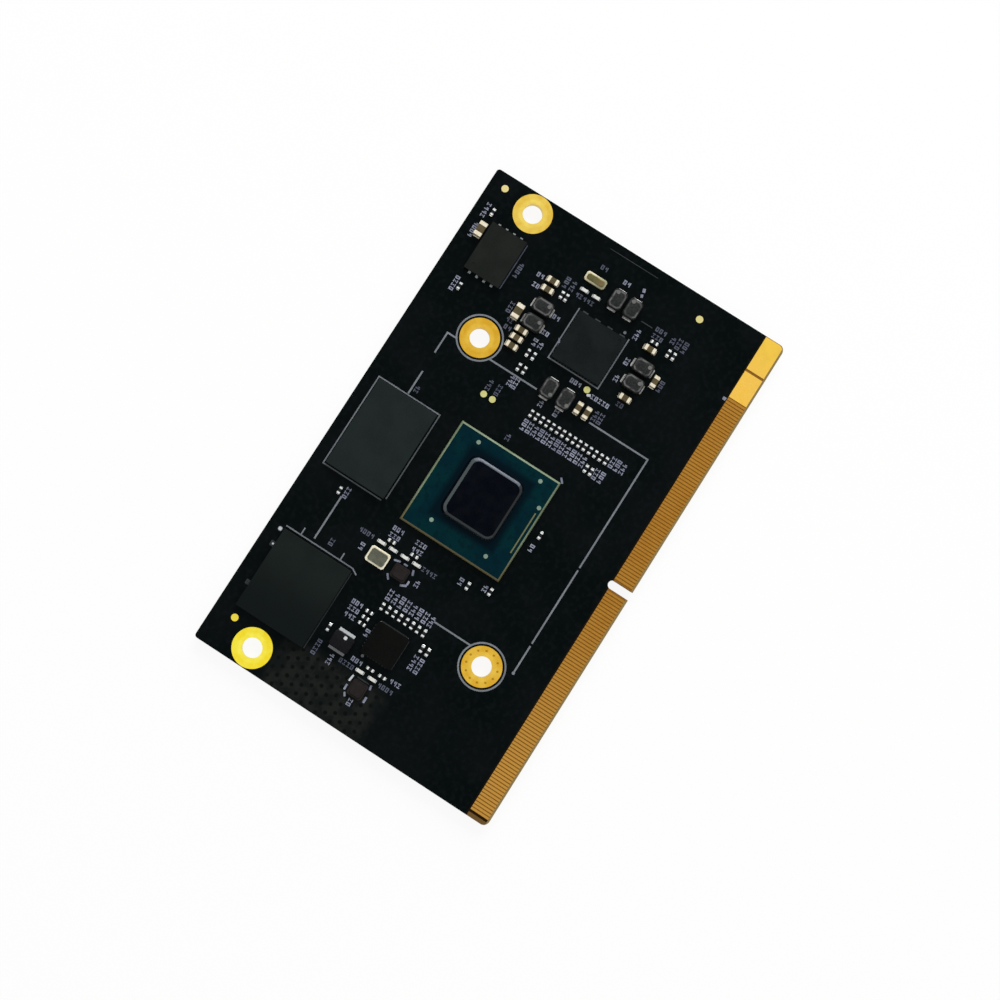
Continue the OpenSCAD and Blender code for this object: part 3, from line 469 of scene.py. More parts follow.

# The board: a clouded solder mask, a paler margin that is a painted sheen, a dark line of painted shade at
# the mask's edge, bare laminate and cut walls

boardLook = {
    "maskColor": paint(1, 6, 6), "maskCloud": paint(7, 12, 13), "mottleColor": paint(14, 19, 22),
    # The margin colours paint a sheen on the mask at the left end
    "marginSheenColor": paint(29, 31, 29), "marginSheenCloud": paint(18, 22, 21), "viaColor": paint(9, 12, 12),
    # The mask line colour is painted shade along the mask's edge
    "gapColor": paint(138, 95, 36), "maskEdgeShadeColor": paint(22, 16, 9), "bevelColor": paint(150, 130, 86),
    "wallColor": paint(92, 92, 84), "metallic": 0, "specular": 0.028, "roughness": 0.32, "bareRoughness": 0.4,
    # Each noise: how fine it is per mm, and the levels that become 0 and 1
    "clouds": (0.12, 0.35, 0.7), "mottle": (1.3, 0.45, 0.7), "blotches": (0.6, 0.4, 0.6),
    "mottleShare": 0.5, "weavePerMm": 3, "weaveLift": 0.3, "bump": 0.3, "bumpDepth": 0.03,
    "faces": (0.56, 1.64),              # between these heights lie the cut walls
    "maskEdge": -21.45, "goldEdge": -21.7, "bevelEdge": -24.66,
    # Left of these places lie the dark strip before the first contact, and the tan end
    "strips": [(-39.95, paint(34, 20, 6)), (-40.35, paint(110, 82, 44))],
    "margin": (-32.3, -4.5, 14.5),      # right end, bottom and top of the paler margin, a painted sheen
    "marginFade": (2, 3, 2),            # how far it fades there
    "viaPitch": (1.45, 1.25), "viaRadius": 0.3, "viaEdge": (1.3, 0.7),
}


def marginMask(tree, look, x, y, z):
    # 1 in the paler margin at the left end of the upper face, where a sheen is painted and the vias lie
    right, bottom, top = look["margin"]
    fadeRight, fadeBottom, fadeTop = look["marginFade"]
    mask = addMath(tree, "MULTIPLY", addRange(tree, x, right, right - fadeRight),
                   addRange(tree, y, bottom, bottom + fadeBottom))
    mask = addMath(tree, "MULTIPLY", mask, addRange(tree, y, top, top - fadeTop))
    return addMath(tree, "MULTIPLY", mask, addMath(tree, "GREATER_THAN", z, look["faces"][1]))


def viaMask(tree, look, x, y):
    # 1 at the vias, in rows whose every second one is shifted by half a pitch
    pitchX, pitchY = look["viaPitch"]
    row = addMath(tree, "FLOOR", addMath(tree, "ADD", addMath(tree, "DIVIDE", y, pitchY), spareCells))
    shift = addMath(tree, "MULTIPLY", addMath(tree, "MODULO", row, 2), pitchX / 2)
    offX = addCell(tree, addMath(tree, "ADD", x, shift), pitchX)
    off = addLength(tree, offX, addCell(tree, y, pitchY))
    return addRange(tree, off, *(look["viaRadius"] * share for share in look["viaEdge"]))


def boardFinish(look):
    material, tree, shader = newMaterial("boardFinish", look)
    place, x, y, z = addPlace(tree)
    color = addMix(tree, addClouds(tree, place, *look["clouds"]), look["maskColor"], look["maskCloud"])
    mottle = addMath(tree, "MULTIPLY", addClouds(tree, place, *look["mottle"]), look["mottleShare"])
    color = addMix(tree, mottle, color, look["mottleColor"])
    # The paler margin is a painted sheen with darker blotches; the vias lie in it
    inMargin = marginMask(tree, look, x, y, z)
    blotches = addClouds(tree, place, *look["blotches"])
    color = addMix(tree, inMargin, color, addMix(tree, blotches, look["marginSheenColor"], look["marginSheenCloud"]))
    via = addMath(tree, "MULTIPLY", viaMask(tree, look, x, y), inMargin)
    color = addMix(tree, via, color, look["viaColor"])
    # A dark line of painted shade along the mask's edge; bare laminate between the contacts, the cut walls,
    # and the bevel
    color = addMix(tree, addMath(tree, "LESS_THAN", y, look["maskEdge"]), color, look["maskEdgeShadeColor"])
    bare = addMath(tree, "LESS_THAN", y, look["goldEdge"])
    color = addMix(tree, bare, color, look["gapColor"])
    for end, tone in look["strips"]:
        color = addMix(tree, addMath(tree, "MULTIPLY", bare, addMath(tree, "LESS_THAN", x, end)), color, tone)
    low, high = look["faces"]
    underTop = addMath(tree, "LESS_THAN", z, high)
    wall = addMath(tree, "MULTIPLY", addMath(tree, "GREATER_THAN", z, low), underTop)
    color = addMix(tree, wall, color, look["wallColor"])
    bevel = addMath(tree, "LESS_THAN", y, look["bevelEdge"])
    color = addMix(tree, bevel, color, look["bevelColor"])
    unmasked = addMath(tree, "MAXIMUM", addMath(tree, "MAXIMUM", wall, bevel), bare)
    rough = addMath(tree, "MULTIPLY", unmasked, look["bareRoughness"])
    rough = addMath(tree, "ADD", rough, look["roughness"])
    weave = addMath(tree, "MULTIPLY", addNoise(tree, place, look["weavePerMm"]), look["weaveLift"])
    addSurface(tree, shader, color, rough, addMath(tree, "SUBTRACT", weave, via), look)
    return material


coilLook = {
    # The paler rim colour is a painted highlight inside the top's edge
    "topColor": paint(26, 29, 29), "topCloud": paint(42, 44, 43), "rimHighlightColor": paint(106, 104, 104),
    "sideColor": paint(26, 27, 28), "metallic": 0, "specular": 0.1, "roughness": 0.5, "roughSpread": 0.08,
    "grain": (4, 0.35, 0.65), "bump": 0.4, "bumpDepth": 0.03,
    "rim": (0.06, 0.22, 0.46),              # how far in the paler rim of painted highlight starts, is palest and ends
    "highlightNoise": (1.1, 0.35, 0.6, 0.15, 1),      # the noise that breaks up the painted highlight: per mm, two levels, least and most
    "topDepth": 0.2, "corner": 0.5,         # how far down the top reaches, and the corners are cut back
}


def coilFinish(name, look, middle, size):
    # Pressed powder: a dark speckled top, and a paler rim that is a painted highlight, broken up by noise
    material, tree, shader = newMaterial(name, look)
    place, x, y, z = addPlace(tree)
    grain = addClouds(tree, place, *look["grain"])
    color = addMix(tree, grain, look["topColor"], look["topCloud"])
    inX = addMath(tree, "SUBTRACT", size.x / 2 / mm, addOff(tree, x, middle.x / mm))
    inY = addMath(tree, "SUBTRACT", size.y / 2 / mm, addOff(tree, y, middle.y / mm))
    fromCorner = addMath(tree, "SUBTRACT", addMath(tree, "ADD", inX, inY), look["corner"])
    fromCorner = addMath(tree, "MULTIPLY", fromCorner, math.sqrt(0.5))
    inside = addMath(tree, "MINIMUM", addMath(tree, "MINIMUM", inX, inY), fromCorner)
    outer, crest, inner = look["rim"]
    highlightBreakup = addClouds(tree, place, *look["highlightNoise"])
    rim = addMath(tree, "MULTIPLY", addRange(tree, inside, inner, crest), highlightBreakup)
    color = addMix(tree, rim, color, look["rimHighlightColor"])
    color = addMix(tree, addRange(tree, inside, crest, outer), color, look["sideColor"])
    top = addMath(tree, "GREATER_THAN", z, (middle.z + size.z / 2) / mm - look["topDepth"])
    color = addMix(tree, top, look["sideColor"], color)
    spread = look["roughSpread"]
    rough = addRange(tree, grain, 0, 1, look["roughness"] - spread, look["roughness"] + spread)
    addSurface(tree, shader, color, rough, grain, look)
    return material


substrateLook = {
    "color": paint(0, 32, 41), "cloud": paint(0, 39, 44), "patch": paint(2, 26, 33),
    # The darker colour at the cap's foot is painted shade
    "capShadeColor": paint(0, 17, 26), "metallic": 0, "specular": 0.03, "roughness": 0.3,
    "clouds": (0.3, 0.4, 0.6), "patchesPerMm": 1.4, "patchLevels": (0.52, 0.66), "patchShare": 0.6,
    "capShadeReach": (6.6, 5.4), "capShadeSquash": 0.45, "grainPerMm": 6, "bump": 0.12, "bumpDepth": 0.02,
}


def substrateFinish(look, capMiddle):
    material, tree, shader = newMaterial("substrateFinish", look)
    place, x, y, _ = addPlace(tree)
    color = addMix(tree, addClouds(tree, place, *look["clouds"]), look["color"], look["cloud"])
    patches = addRange(tree, addNoise(tree, place, look["patchesPerMm"], detail=1), *look["patchLevels"])
    color = addMix(tree, addMath(tree, "MULTIPLY", patches, look["patchShare"]), color, look["patch"])
    # A darker band of painted shade round the foot of the cap
    offX = addOff(tree, x, capMiddle.x / mm)
    offY = addMath(tree, "ADD", addOff(tree, y, capMiddle.y / mm), look["capShadeSquash"])
    capShade = addRange(tree, addMath(tree, "MAXIMUM", offX, offY), *look["capShadeReach"])
    color = addMix(tree, capShade, color, look["capShadeColor"])
    addSurface(tree, shader, color, look["roughness"], addNoise(tree, place, look["grainPerMm"]), look)
    return material


ringLook = {
    "metallic": 1, "specular": 0.5, "roughness": 0.42, "clouds": (0.8, 0.35, 0.65),
    "innerRing": 2.15, "ringSoft": 0.25, "ringLift": 0.2, "bump": 0.4, "bumpDepth": 0.05,
    "spotted": "barrel_inner_left", "spots": 12, "spotRing": 2.35, "spotRadius": 0.17,
    "spotEdge": (1.4, 0.6), "spotShare": 0.8, "spotColor": paint(150, 104, 20),
    # Outer and inner tone of each plated hole
    "tones": {
        "barrel_left_edge": (paint(232, 208, 38), paint(240, 228, 84)),
        "barrel_right_edge": (paint(204, 168, 62), paint(220, 196, 94)),
        "barrel_inner_right": (paint(198, 152, 42), paint(214, 176, 66)),
        "barrel_inner_left": (paint(206, 160, 46), paint(222, 186, 74)),
    },
}


def ringFinish(nodeName, look, middle):
    # Plated hole: a brighter inner band, and small plated vias round one of them
    material, tree, shader = newMaterial(f"ringFinish_{nodeName}", look)
    place, x, y, _ = addPlace(tree)
    clouds = addClouds(tree, place, *look["clouds"])
    offX = addMath(tree, "SUBTRACT", x, middle.x / mm)
    offY = addMath(tree, "SUBTRACT", y, middle.y / mm)
    out = addLength(tree, offX, offY)
    inner = addRange(tree, out, look["innerRing"] + look["ringSoft"], look["innerRing"] - look["ringSoft"])
    band = addMath(tree, "MULTIPLY", addMath(tree, "ADD", inner, clouds), 0.5)
    color = addMix(tree, band, *look["tones"][nodeName])
    lift = addMath(tree, "MULTIPLY", inner, look["ringLift"])
    if nodeName == look["spotted"]:
        turn = addCell(tree, addMath(tree, "ARCTAN2", offY, offX), 2 * math.pi / look["spots"])
        along = addMath(tree, "MULTIPLY", turn, look["spotRing"])
        off = addLength(tree, along, addMath(tree, "SUBTRACT", out, look["spotRing"]))
        spot = addRange(tree, off, *(look["spotRadius"] * share for share in look["spotEdge"]))
        color = addMix(tree, addMath(tree, "MULTIPLY", spot, look["spotShare"]), color, look["spotColor"])
        lift = addMath(tree, "SUBTRACT", lift, spot)
    addSurface(tree, shader, color, look["roughness"], lift, look)
    return material


print("finishes ready")

# The carried-over nodes of each finish; a name may be the start of several nodes' names

finishNodes = {
    "contactGold": ["contacts_"],
    "padGold": ["power_pads_"],
    "dotGold": ["test_pads", "alignment_dots"],
    "markGold": ["processor_marks"],
    "solder": ["processor_balls", "memory_balls", "storage_balls", "right_bank_ends", "left_bank_ends",
               "scattered_chip_ends", "underside_capacitor_ends"],
    "creamEnd": ["bulk_capacitor_ends"],
    "flashLead": ["flash_leads"],
    "dullLead": ["power_leads_and_pad", "network_leads_and_pad", "coil_terminals"],
    "brightInk": ["network_coil_terminals"],
    "crystalRim": ["processor_crystal_base"],
    "crystalLid": ["processor_crystal_lid"],
    "slowRim": ["slow_crystal_base"],
    "slowLid": ["slow_crystal_lid"],
    "darkCrystal": ["sound_crystal_base", "network_crystal_base"],
    "darkLid": ["sound_crystal_lid", "network_crystal_lid"],
    "brownCapacitor": ["bulk_capacitor_bodies", "underside_capacitor_bodies"],
    "paleCapacitor": ["load_capacitor_bodies", "load_capacitor_ends"],
    "resistor": ["right_bank_bodies", "left_bank_bodies", "scattered_chip_bodies"],
    "ink": ["printed_legend"],
}
nodeFinishes = {start: finishes[name] for name, starts in finishNodes.items() for start in starts}
nodeFinishes.update(chipFinishes, circuit_board=boardFinish(boardLook))

for nodeName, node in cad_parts.items():
    if nodeName.startswith("barrel_"):
        finish = ringFinish(nodeName, ringLook, boxOf(nodeName)[0])
    else:
        matches = [start for start in nodeFinishes if nodeName.startswith(start)]
        finish = nodeFinishes[max(matches, key=len, default="memory_chip")]
    node.data.materials.clear()
    node.data.materials.append(finish)

crystalNames = [f"{use}_crystal_{half}" for use in ("processor", "slow", "sound", "network")
                for half in ("base", "lid")]
softEdges = {
    "width": 0.06, "segments": 2, "angle": 50, "weld": 0.001,
    "names": ["memory_chip", "storage_chip", "flash_chip", "power_chip", "network_chip", *crystalNames],
}
for nodeName in softEdges["names"]:        # moulded and stamped edges are never quite sharp
    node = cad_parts[nodeName]
    weld = node.modifiers.new("weld", "WELD")
    weld.merge_threshold = softEdges["weld"] * mm
    bevel = node.modifiers.new("softEdge", "BEVEL")
    bevel.width = softEdges["width"] * mm
    bevel.segments = softEdges["segments"]
    bevel.limit_method = "ANGLE"
    bevel.angle_limit = math.radians(softEdges["angle"])
print("nodes dressed")

# Processor: a substrate with a pale cut edge, and the soft-edged cap

substrateSettings = {"edge": 0.3, "edgeSegments": 2}


def makeSubstrate(settings):
    middle, size = boxOf("processor_substrate")
    piece = startCube("substrate", size, middle)
    bevelEdges(piece, alongTop(piece), settings["edge"] * mm, settings["edgeSegments"])
    piece.data.materials.append(substrateFinish(substrateLook, boxOf("processor_cap")[0]))
    piece.data.materials.append(finishes["substrateRim"])
    for face in piece.data.polygons:
        face.material_index = 0 if abs(face.normal.z) > 0.99 else 1
    finishPiece(piece, finishes["substrateRim"], "package_substrate", "processor_substrate")


capSettings = {
    "cornerRadius": 1.5, "cornerSegments": 8, "lean": 0.3, "topShift": (-0.1, -0.15),
    "edgeRadius": 0.34, "edgeSegments": 5, "smooth": 35,
    "dimple": (3.15, -2.8), "dimpleRadius": 0.32, "dimpleDepth": 0.05, "dimpleSides": 24,
    "dimpleReach": 1.5,        # faces within so many dimple radii keep the top's finish
    # A face of the rim takes the painted sheen if its normal rises this far: where it leans to +X or +Y, and
    # elsewhere
    "sheened": (0.65, 0.1), "leaning": 0.3, "flat": 0.995,
}


def makeCap(settings):
    middle, size = boxOf("processor_cap")
    top = middle.z + size.z / 2
    piece = startCube("cap", size, middle)
    bevelEdges(piece, upright, settings["cornerRadius"] * mm, settings["cornerSegments"])
    pickFaces(piece, lambda normal: normal.z > 0.9)
    shrink = [1 - 2 * settings["lean"] * mm / side for side in (size.x, size.y)]
    bpy.ops.transform.resize(value=(*shrink, 1), center_override=(middle.x, middle.y, top))
    shiftX, shiftY = settings["topShift"]
    bpy.ops.transform.translate(value=(shiftX * mm, shiftY * mm, 0))
    leaveEditing()
    bevelEdges(piece, alongTop(piece), settings["edgeRadius"] * mm, settings["edgeSegments"])
    x, y = settings["dimple"]
    dimple = Vector((middle.x + x * mm, middle.y + y * mm, top))
    radius, depth = settings["dimpleRadius"] * mm, 2 * settings["dimpleDepth"] * mm
    cutter = startCylinder("dimpleCutter", radius, depth, dimple, settings["dimpleSides"])
    cut = piece.modifiers.new("dimple", "BOOLEAN")
    cut.object = cutter
    makeActive(piece)
    bpy.ops.object.modifier_apply(modifier="dimple")
    bpy.data.objects.remove(cutter)
    smoothByAngle(piece, settings["smooth"])
    piece.data.materials.clear()
    piece.data.materials.append(finishes["capTop"])
    piece.data.materials.append(finishes["capRimSheen"])
    leanRise, otherRise = settings["sheened"]
    for face in piece.data.polygons:        # the soft edge takes the paler finish of painted sheen; the top and the dimple don't
        byDimple = (face.center - dimple).length < settings["dimpleReach"] * radius
        leans = max(face.normal.x, face.normal.y) >= settings["leaning"]
        sheened = (leanRise if leans else otherRise) < face.normal.z < settings["flat"]
        face.material_index = 1 if sheened and not byDimple else 0
    finishPiece(piece, finishes["capTop"], "mould_compound", "processor_cap")


makeSubstrate(substrateSettings)
makeCap(capSettings)
print("processor ready")

# Coils: pressed bodies with cut corners, and a paler dot near one corner of each

coilNames = [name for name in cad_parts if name.startswith("coil_") and name != "coil_terminals"]
coilBodySettings = {
    "corner": coilLook["corner"], "cornerSegments": 2, "edge": 0.14, "edgeSegments": 3, "smooth": 35,
}


def makeCoilBodies(settings):
    for nodeName in coilNames:
        middle, size = boxOf(nodeName)
        body = startCube(f"body_{nodeName}", size, middle)
        bevelEdges(body, upright, settings["corner"] * mm, settings["cornerSegments"])
        bevelEdges(body, alongTop(body), settings["edge"] * mm, settings["edgeSegments"])
        smoothByAngle(body, settings["smooth"])
        finish = coilFinish(f"finish_{nodeName}", coilLook, middle, size)
        finishPiece(body, finish, "coil_compound", nodeName)


coilDotSettings = {
    "radius": 0.3, "thick": 0.02, "sides": 16, "round": 0.6, "roundSegments": 2,
    "alongX": (-0.8, -0.65), "alongY": (0.42, -0.82),
    "turned": (0.95, 0.45), "turnedPast": 32,        # coils further right than this are turned round
}


def makeCoilDots(settings):
    thick = settings["thick"] * mm
    dot = startCylinder("coilDotMaster", settings["radius"] * mm, thick, (0, 0, 0), settings["sides"])
    bevelEdges(dot, alongTop(dot), thick * settings["round"], settings["roundSegments"])
    places = []
    for nodeName in coilNames:
        middle, size = boxOf(nodeName)
        x, y = settings["alongX"] if size.x > size.y else settings["alongY"]
        if middle.x > settings["turnedPast"] * mm:
            x, y = settings["turned"]
        places.append(Matrix.Translation(middle + Vector((x * mm, y * mm, (size.z + thick) / 2))))
    dots = copiesOf(dot, "coilDots", places)
    bpy.data.objects.remove(dot)
    finishPiece(dots, finishes["coilDot"], "coil_compound")


makeCoilBodies(coilBodySettings)
makeCoilDots(coilDotSettings)
print("coils ready")

# Solder: a fillet at each end of every chip part and coil

filletSettings = {
    "rise": 0.7, "wide": 0.94, "coilReach": 0.26, "coilRise": 0.3, "coilWide": 0.62,
    "slope": 0.9, "slopeSegments": 3, "hollow": 0.12, "side": 0.2, "sideSegments": 2, "smooth": 40,
    # Each set has the start of its nodes' names, its finish, and how far a fillet reaches
    "sets": {
        "rightBankFillets": ("right_bank", "solder", 0.12),
        "leftBankFillets": ("left_bank", "solder", 0.12),
        "scatteredFillets": ("scattered_chip", "solder", 0.14),
        "bulkFillets": ("bulk_capacitor", "creamEnd", 0.22),
        "loadFillets": ("load_capacitor", "solder", 0.2),
        "undersideFillets": ("underside_capacitor", "solder", 0.2),
    },
}


def makeFilletMaster(settings):
    # A unit wedge with a hollow slope: 1 long along +X, 1 wide, 1 high, its foot at z = 0
    wedge = startCube("filletMaster", (1, 1, 1), (0.5, 0, 0.5))
    bevelEdges(wedge, lambda a, b: min(a.x, b.x) > 0.9 and min(a.z, b.z) > 0.9,
               settings["slope"], settings["slopeSegments"], settings["hollow"])
    bevelEdges(wedge, lambda a, b: min(a.x, b.x) > 0.9 and abs(a.y - b.y) < 0.1,
               settings["side"], settings["sideSegments"])
    smoothByAngle(wedge, settings["smooth"])
    return wedge


def makeFillets(name, start, reach, master, settings):
    flipped = name == "undersideFillets"
    bodies = [middle for middle, _ in solidBoxes(f"{start}_bodies")]
    places = []
    for middle, size in solidBoxes(f"{start}_ends"):
        along = Vector((1, 0, 0)) if size.x < size.y else Vector((0, 1, 0))
        body = min(bodies, key=lambda b: (b - middle).length)
        way = along if (middle - body).dot(along) > 0 else -along
        width = max(size.x, size.y) * settings["wide"]
        foot = middle + way * (min(size.x, size.y) / 2)
        foot.z = middle.z + size.z / 2 if flipped else middle.z - size.z / 2
        rise = size.z * settings["rise"] * (-1 if flipped else 1)
        places.append(placeAt(foot, math.atan2(way.y, way.x), (reach * mm, width, rise)))
    piece = copiesOf(master, name, places)
    if flipped:        # a negative height turns the faces inside out
        makeActive(piece)
        bpy.ops.object.mode_set(mode="EDIT")
        bpy.ops.mesh.select_all(action="SELECT")
        bpy.ops.mesh.normals_make_consistent(inside=False)
        leaveEditing()
    return piece


def makeCoilFillets(master, settings):
    # Solder drawn up both ends of each coil, across its long way
    places = []
    for nodeName in coilNames:
        middle, size = boxOf(nodeName)
        along = Vector((1, 0, 0)) if size.x > size.y else Vector((0, 1, 0))
        length, width = max(size.x, size.y), min(size.x, size.y)
        scale = settings["coilReach"] * mm, width * settings["coilWide"], size.z * settings["coilRise"]
        for way in (along, -along):
            foot = middle + way * length / 2
            foot.z = middle.z - size.z / 2
            places.append(placeAt(foot, math.atan2(way.y, way.x), scale))
    return copiesOf(master, "coilFillets", places)


filletMaster = makeFilletMaster(filletSettings)
for name, (start, finishName, reach) in filletSettings["sets"].items():
    fillets = makeFillets(name, start, reach, filletMaster, filletSettings)
    finishPiece(fillets, finishes[finishName], "solder")
finishPiece(makeCoilFillets(filletMaster, filletSettings), finishes["coilEnd"], "solder")
bpy.data.objects.remove(filletMaster)
print("solder ready")

# Printed marks: generic strokes where the board has its small printed signs

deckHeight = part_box("circuit_board")[1].z
markSettings = {
    "cell": (0.48, 0.72), "stroke": 0.17, "pitch": 0.64, "thick": 0.02, "cut": 0.3,
    # Beside each piece of a bank: how far off the marks lie, and below which y there are none
    "banks": [("right_bank_bodies", -1.95, -9), ("left_bank_bodies", 1.95, -25)],
    "bankCount": 3,
    # Each row is its middle x and y, its turn in degrees, and how many marks it has
    "clear": [
        (12.95, -12.5, 0, 3), (12.95, -13.4, 0, 3), (12.95, -14.3, 0, 3), (10.2, -11.35, 0, 3),
        (10.2, -12.3, 0, 3), (-26.4, 7.7, 90, 3), (-25.3, 7.7, 90, 3), (-24.3, 7.7, 90, 3),
        (-27.1, -3.65, 0, 4), (-27.1, -4.65, 0, 4), (-31.25, 3.3, 90, 3), (-31.0, -3.1, 90, 3),
        (-11.75, 17.7, 0, 3), (-13.55, -3.2, 0, 2), (-12.5, -6.7, 0, 2), (-13.3, 8.4, 90, 3),
        (-12.2, 8.4, 90, 3), (-13.3, 4.5, 90, 3), (-12.2, 4.5, 90, 3), (-3.95, -9.2, 0, 2),
        (15.1, 6.4, 0, 3), (15.1, 5.6, 0, 3), (21.85, 6.5, 0, 2), (21.85, 5.5, 0, 2),
        (22.9, 21.2, 0, 4), (31.2, 23.2, 0, 4), (34.65, 23.2, 0, 4), (19.55, -6.2, 90, 5),
        (-27.1, 4.25, 0, 2), (-33.1, 6.7, 0, 3), (-36.75, 1.0, 0, 2), (-17.0, 11.65, 0, 2),
        (14.6, 0.9, 0, 2), (14.6, -1.7, 0, 2), (20, -1.75, 90, 3), (30.9, -5.55, 0, 3),
        (29.1, 10.9, 90, 2), (30.7, 11.1, 90, 2), (-17.3, 1.95, 0, 2), (23.8, 5.9, 90, 2),
        (26.6, 5.8, 90, 2), (23.8, -6.4, 0, 2), (26.7, -6.4, 0, 2), (36.55, -0.3, 90, 2),
    ],
    "dim": [
        (-32.7, 9.3, 0, 4), (31.9, 7.3, 0, 3), (31.9, 6.2, 0, 3), (32.1, -8.3, 90, 3), (33.2, -8.3, 90, 3),
        (33, -10.5, 0, 2), (33, -11.5, 0, 3), (33, -12.5, 0, 3), (12.9, 8.7, 0, 3), (12.9, 7.2, 0, 3),
        (-15, 12.1, 90, 4), (-15, 1.35, 90, 4), (-32.4, 4.35, 90, 4), (-32.4, -2.3, 90, 4),
        (7.85, 2.3, 0, 2), (-18.9, 15.65, 0, 2), (29.6, 14.25, 0, 4), (31.2, 3.75, 90, 5),
        (20.7, -8.9, 90, 2), (26.2, -12.5, 0, 3), (17.4, -6.75, 0, 3), (17.4, -7.65, 0, 3),
        (21.5, 11.05, 90, 2), (22.6, 11.35, 90, 2), (24.3, 12.3, 0, 3), (36.7, 3.7, 90, 2),
        (6.6, 17.3, 0, 2),
    ],
}


def makeMarkMasters(settings):
    # Three plain marks: an open box, two bars joined by a stem, and a bar with a short one beside it
    (wide, tall), stroke, thick = settings["cell"], settings["stroke"], settings["thick"]
    boxMark = startCube("boxMark", (wide * mm, tall * mm, thick * mm), (0, 0, thick * mm / 2))
    pickFaces(boxMark, lambda normal: abs(normal.z) > 0.9)
    bpy.ops.mesh.inset(thickness=stroke * mm)
    bpy.ops.mesh.bridge_edge_loops()
    leaveEditing()
    masters = [boxMark]
    for name, spots in {
        "barsMark": [(0, tall / 2 - stroke / 2, wide, stroke), (0, stroke / 2 - tall / 2, wide, stroke),
                     (0, 0, stroke, tall - 3 * stroke)],
        "stepMark": [(stroke / 2 - wide / 2, 0, stroke, tall),
                     (wide / 2 - stroke, -tall / 6, stroke, tall / 2)],
    }.items():
        parts = []
        for x, y, sizeX, sizeY in spots:
            bar = startCube(name, (sizeX * mm, sizeY * mm, thick * mm), (x * mm, y * mm, thick * mm / 2))
            bevelEdges(bar, upright, stroke * mm * settings["cut"], 1)
            parts.append(bar)
        masters.append(joinPieces(parts, name))
    return masters


def markPlaces(settings, rows):
    # The matrices of the marks in the rows, one list for each of the three masters
    places = [[], [], []]
    for index, (x, y, turn, count) in enumerate(rows):
        way = Matrix.Rotation(math.radians(turn), 4, "Z")
        for cell in range(count):
            shift = way @ Vector(((cell - (count - 1) / 2) * settings["pitch"] * mm, 0, 0))
            spot = Matrix.Translation(Vector((x * mm, y * mm, deckHeight)) + shift) @ way
            places[(index * 2 + cell * cell) % 3].append(spot)
    return places


def makeMarks(settings):
    masters = makeMarkMasters(settings)
    bankRows = []
    for nodeName, aside, leastY in settings["banks"]:
        for middle, _ in solidBoxes(nodeName):
            if middle.y / mm > leastY:
                bankRows.append((middle.x / mm + aside, middle.y / mm, 0, settings["bankCount"]))
    sets = {"clear": (settings["clear"] + bankRows, "mark"), "dim": (settings["dim"], "dimMark")}
    for kind, (rows, finishName) in sets.items():
        for master, spots, form in zip(masters, markPlaces(settings, rows), ("Boxes", "Bars", "Steps")):
            finishPiece(copiesOf(master, f"{kind}{form}", spots), finishes[finishName], "printed_ink")
    for master in masters:
        bpy.data.objects.remove(master)


makeMarks(markSettings)

strokeSettings = {
    "thick": 0.02, "roundSegments": 3,
    # The finish of each kind, and how far its ends are rounded, in widths
    "kinds": {"plain": ("mark", 0.15), "faint": ("faintInk", 0.15), "soft": ("dimMark", 0.15),
              "bright": ("brightInk", 0.29)},
    # Each stroke is its two ends and its width; a dot has both ends in one place
    "plain": [
        (6.5, -7.9, 6.95, -7.5, 0.3), (-35.5, 2.65, -34.9, 2.65, 0.3), (-36.3, 2.1, -36.0, 2.3, 0.3),
        (-35.6, -0.7, -35.0, -0.7, 0.35), (-33.6, -0.5, -33.2, -0.4, 0.3), (-18.9, 5.9, -18.4, 6.3, 0.3),
        (-16.1, 6.5, -15.9, 5.8, 0.3), (-15.85, 5.0, -15.85, 4.6, 0.25), (-18.7, 3.8, -18.4, 3.2, 0.35),
        (-18.1, 3.1, -17.7, 3.1, 0.3), (-16.5, 3.2, -16.0, 3.4, 0.3), (23.4, 3.3, 24.2, 3.7, 0.25),
        (29.8, -21.3, 29.8, -21.3, 0.5), (36.95, -3.0, 37.1, -2.95, 0.45), (36.1, -3.15, 36.2, -3.1, 0.4),
    ],
    "faint": [
        (-33.8, 10.75, -21.2, 10.75, 0.16), (-29.6, -1.55, -24.9, -1.55, 0.18),
        (-24.5, 3.3, -24.5, -1.2, 0.18), (39.7, -3.7, 39.7, 4.5, 0.1), (-23.7, 22.7, -23.7, 22.7, 0.85),
        (-30.3, 22.7, -30.3, 22.7, 0.75), (-30.6, 7.95, -28.9, 7.95, 0.16), (-33.1, 1.9, -33.1, 0.1, 0.2),
        (32.95, -5.1, 32.95, -6.9, 0.14),
    ],
    "soft": [(25.8, 15.1, 33.4, 15.1, 0.18)],
    "bright": [
        (19.4, -4.25, 19.5, -4.45, 0.4), (-29.35, 6.4, -29.35, 6.4, 0.5),
        (-24.7, 3.4, -24.7, 3.4, 0.25), (-24.7, -1.3, -24.7, -1.3, 0.25), (-34.1, 2.7, -33.3, 2.6, 0.3),
        (-21.3, 23.0, -21.3, 23.0, 0.5), (-23.7, 22.7, -23.7, 22.7, 0.3),
    ],
    # Bright ones that lie on something else than the board
    "lifted": {
        (-29.35, 6.4): "network_coil", (-21.3, 23.0): "printed_legend", (-23.7, 22.7): "printed_legend",
    },
}


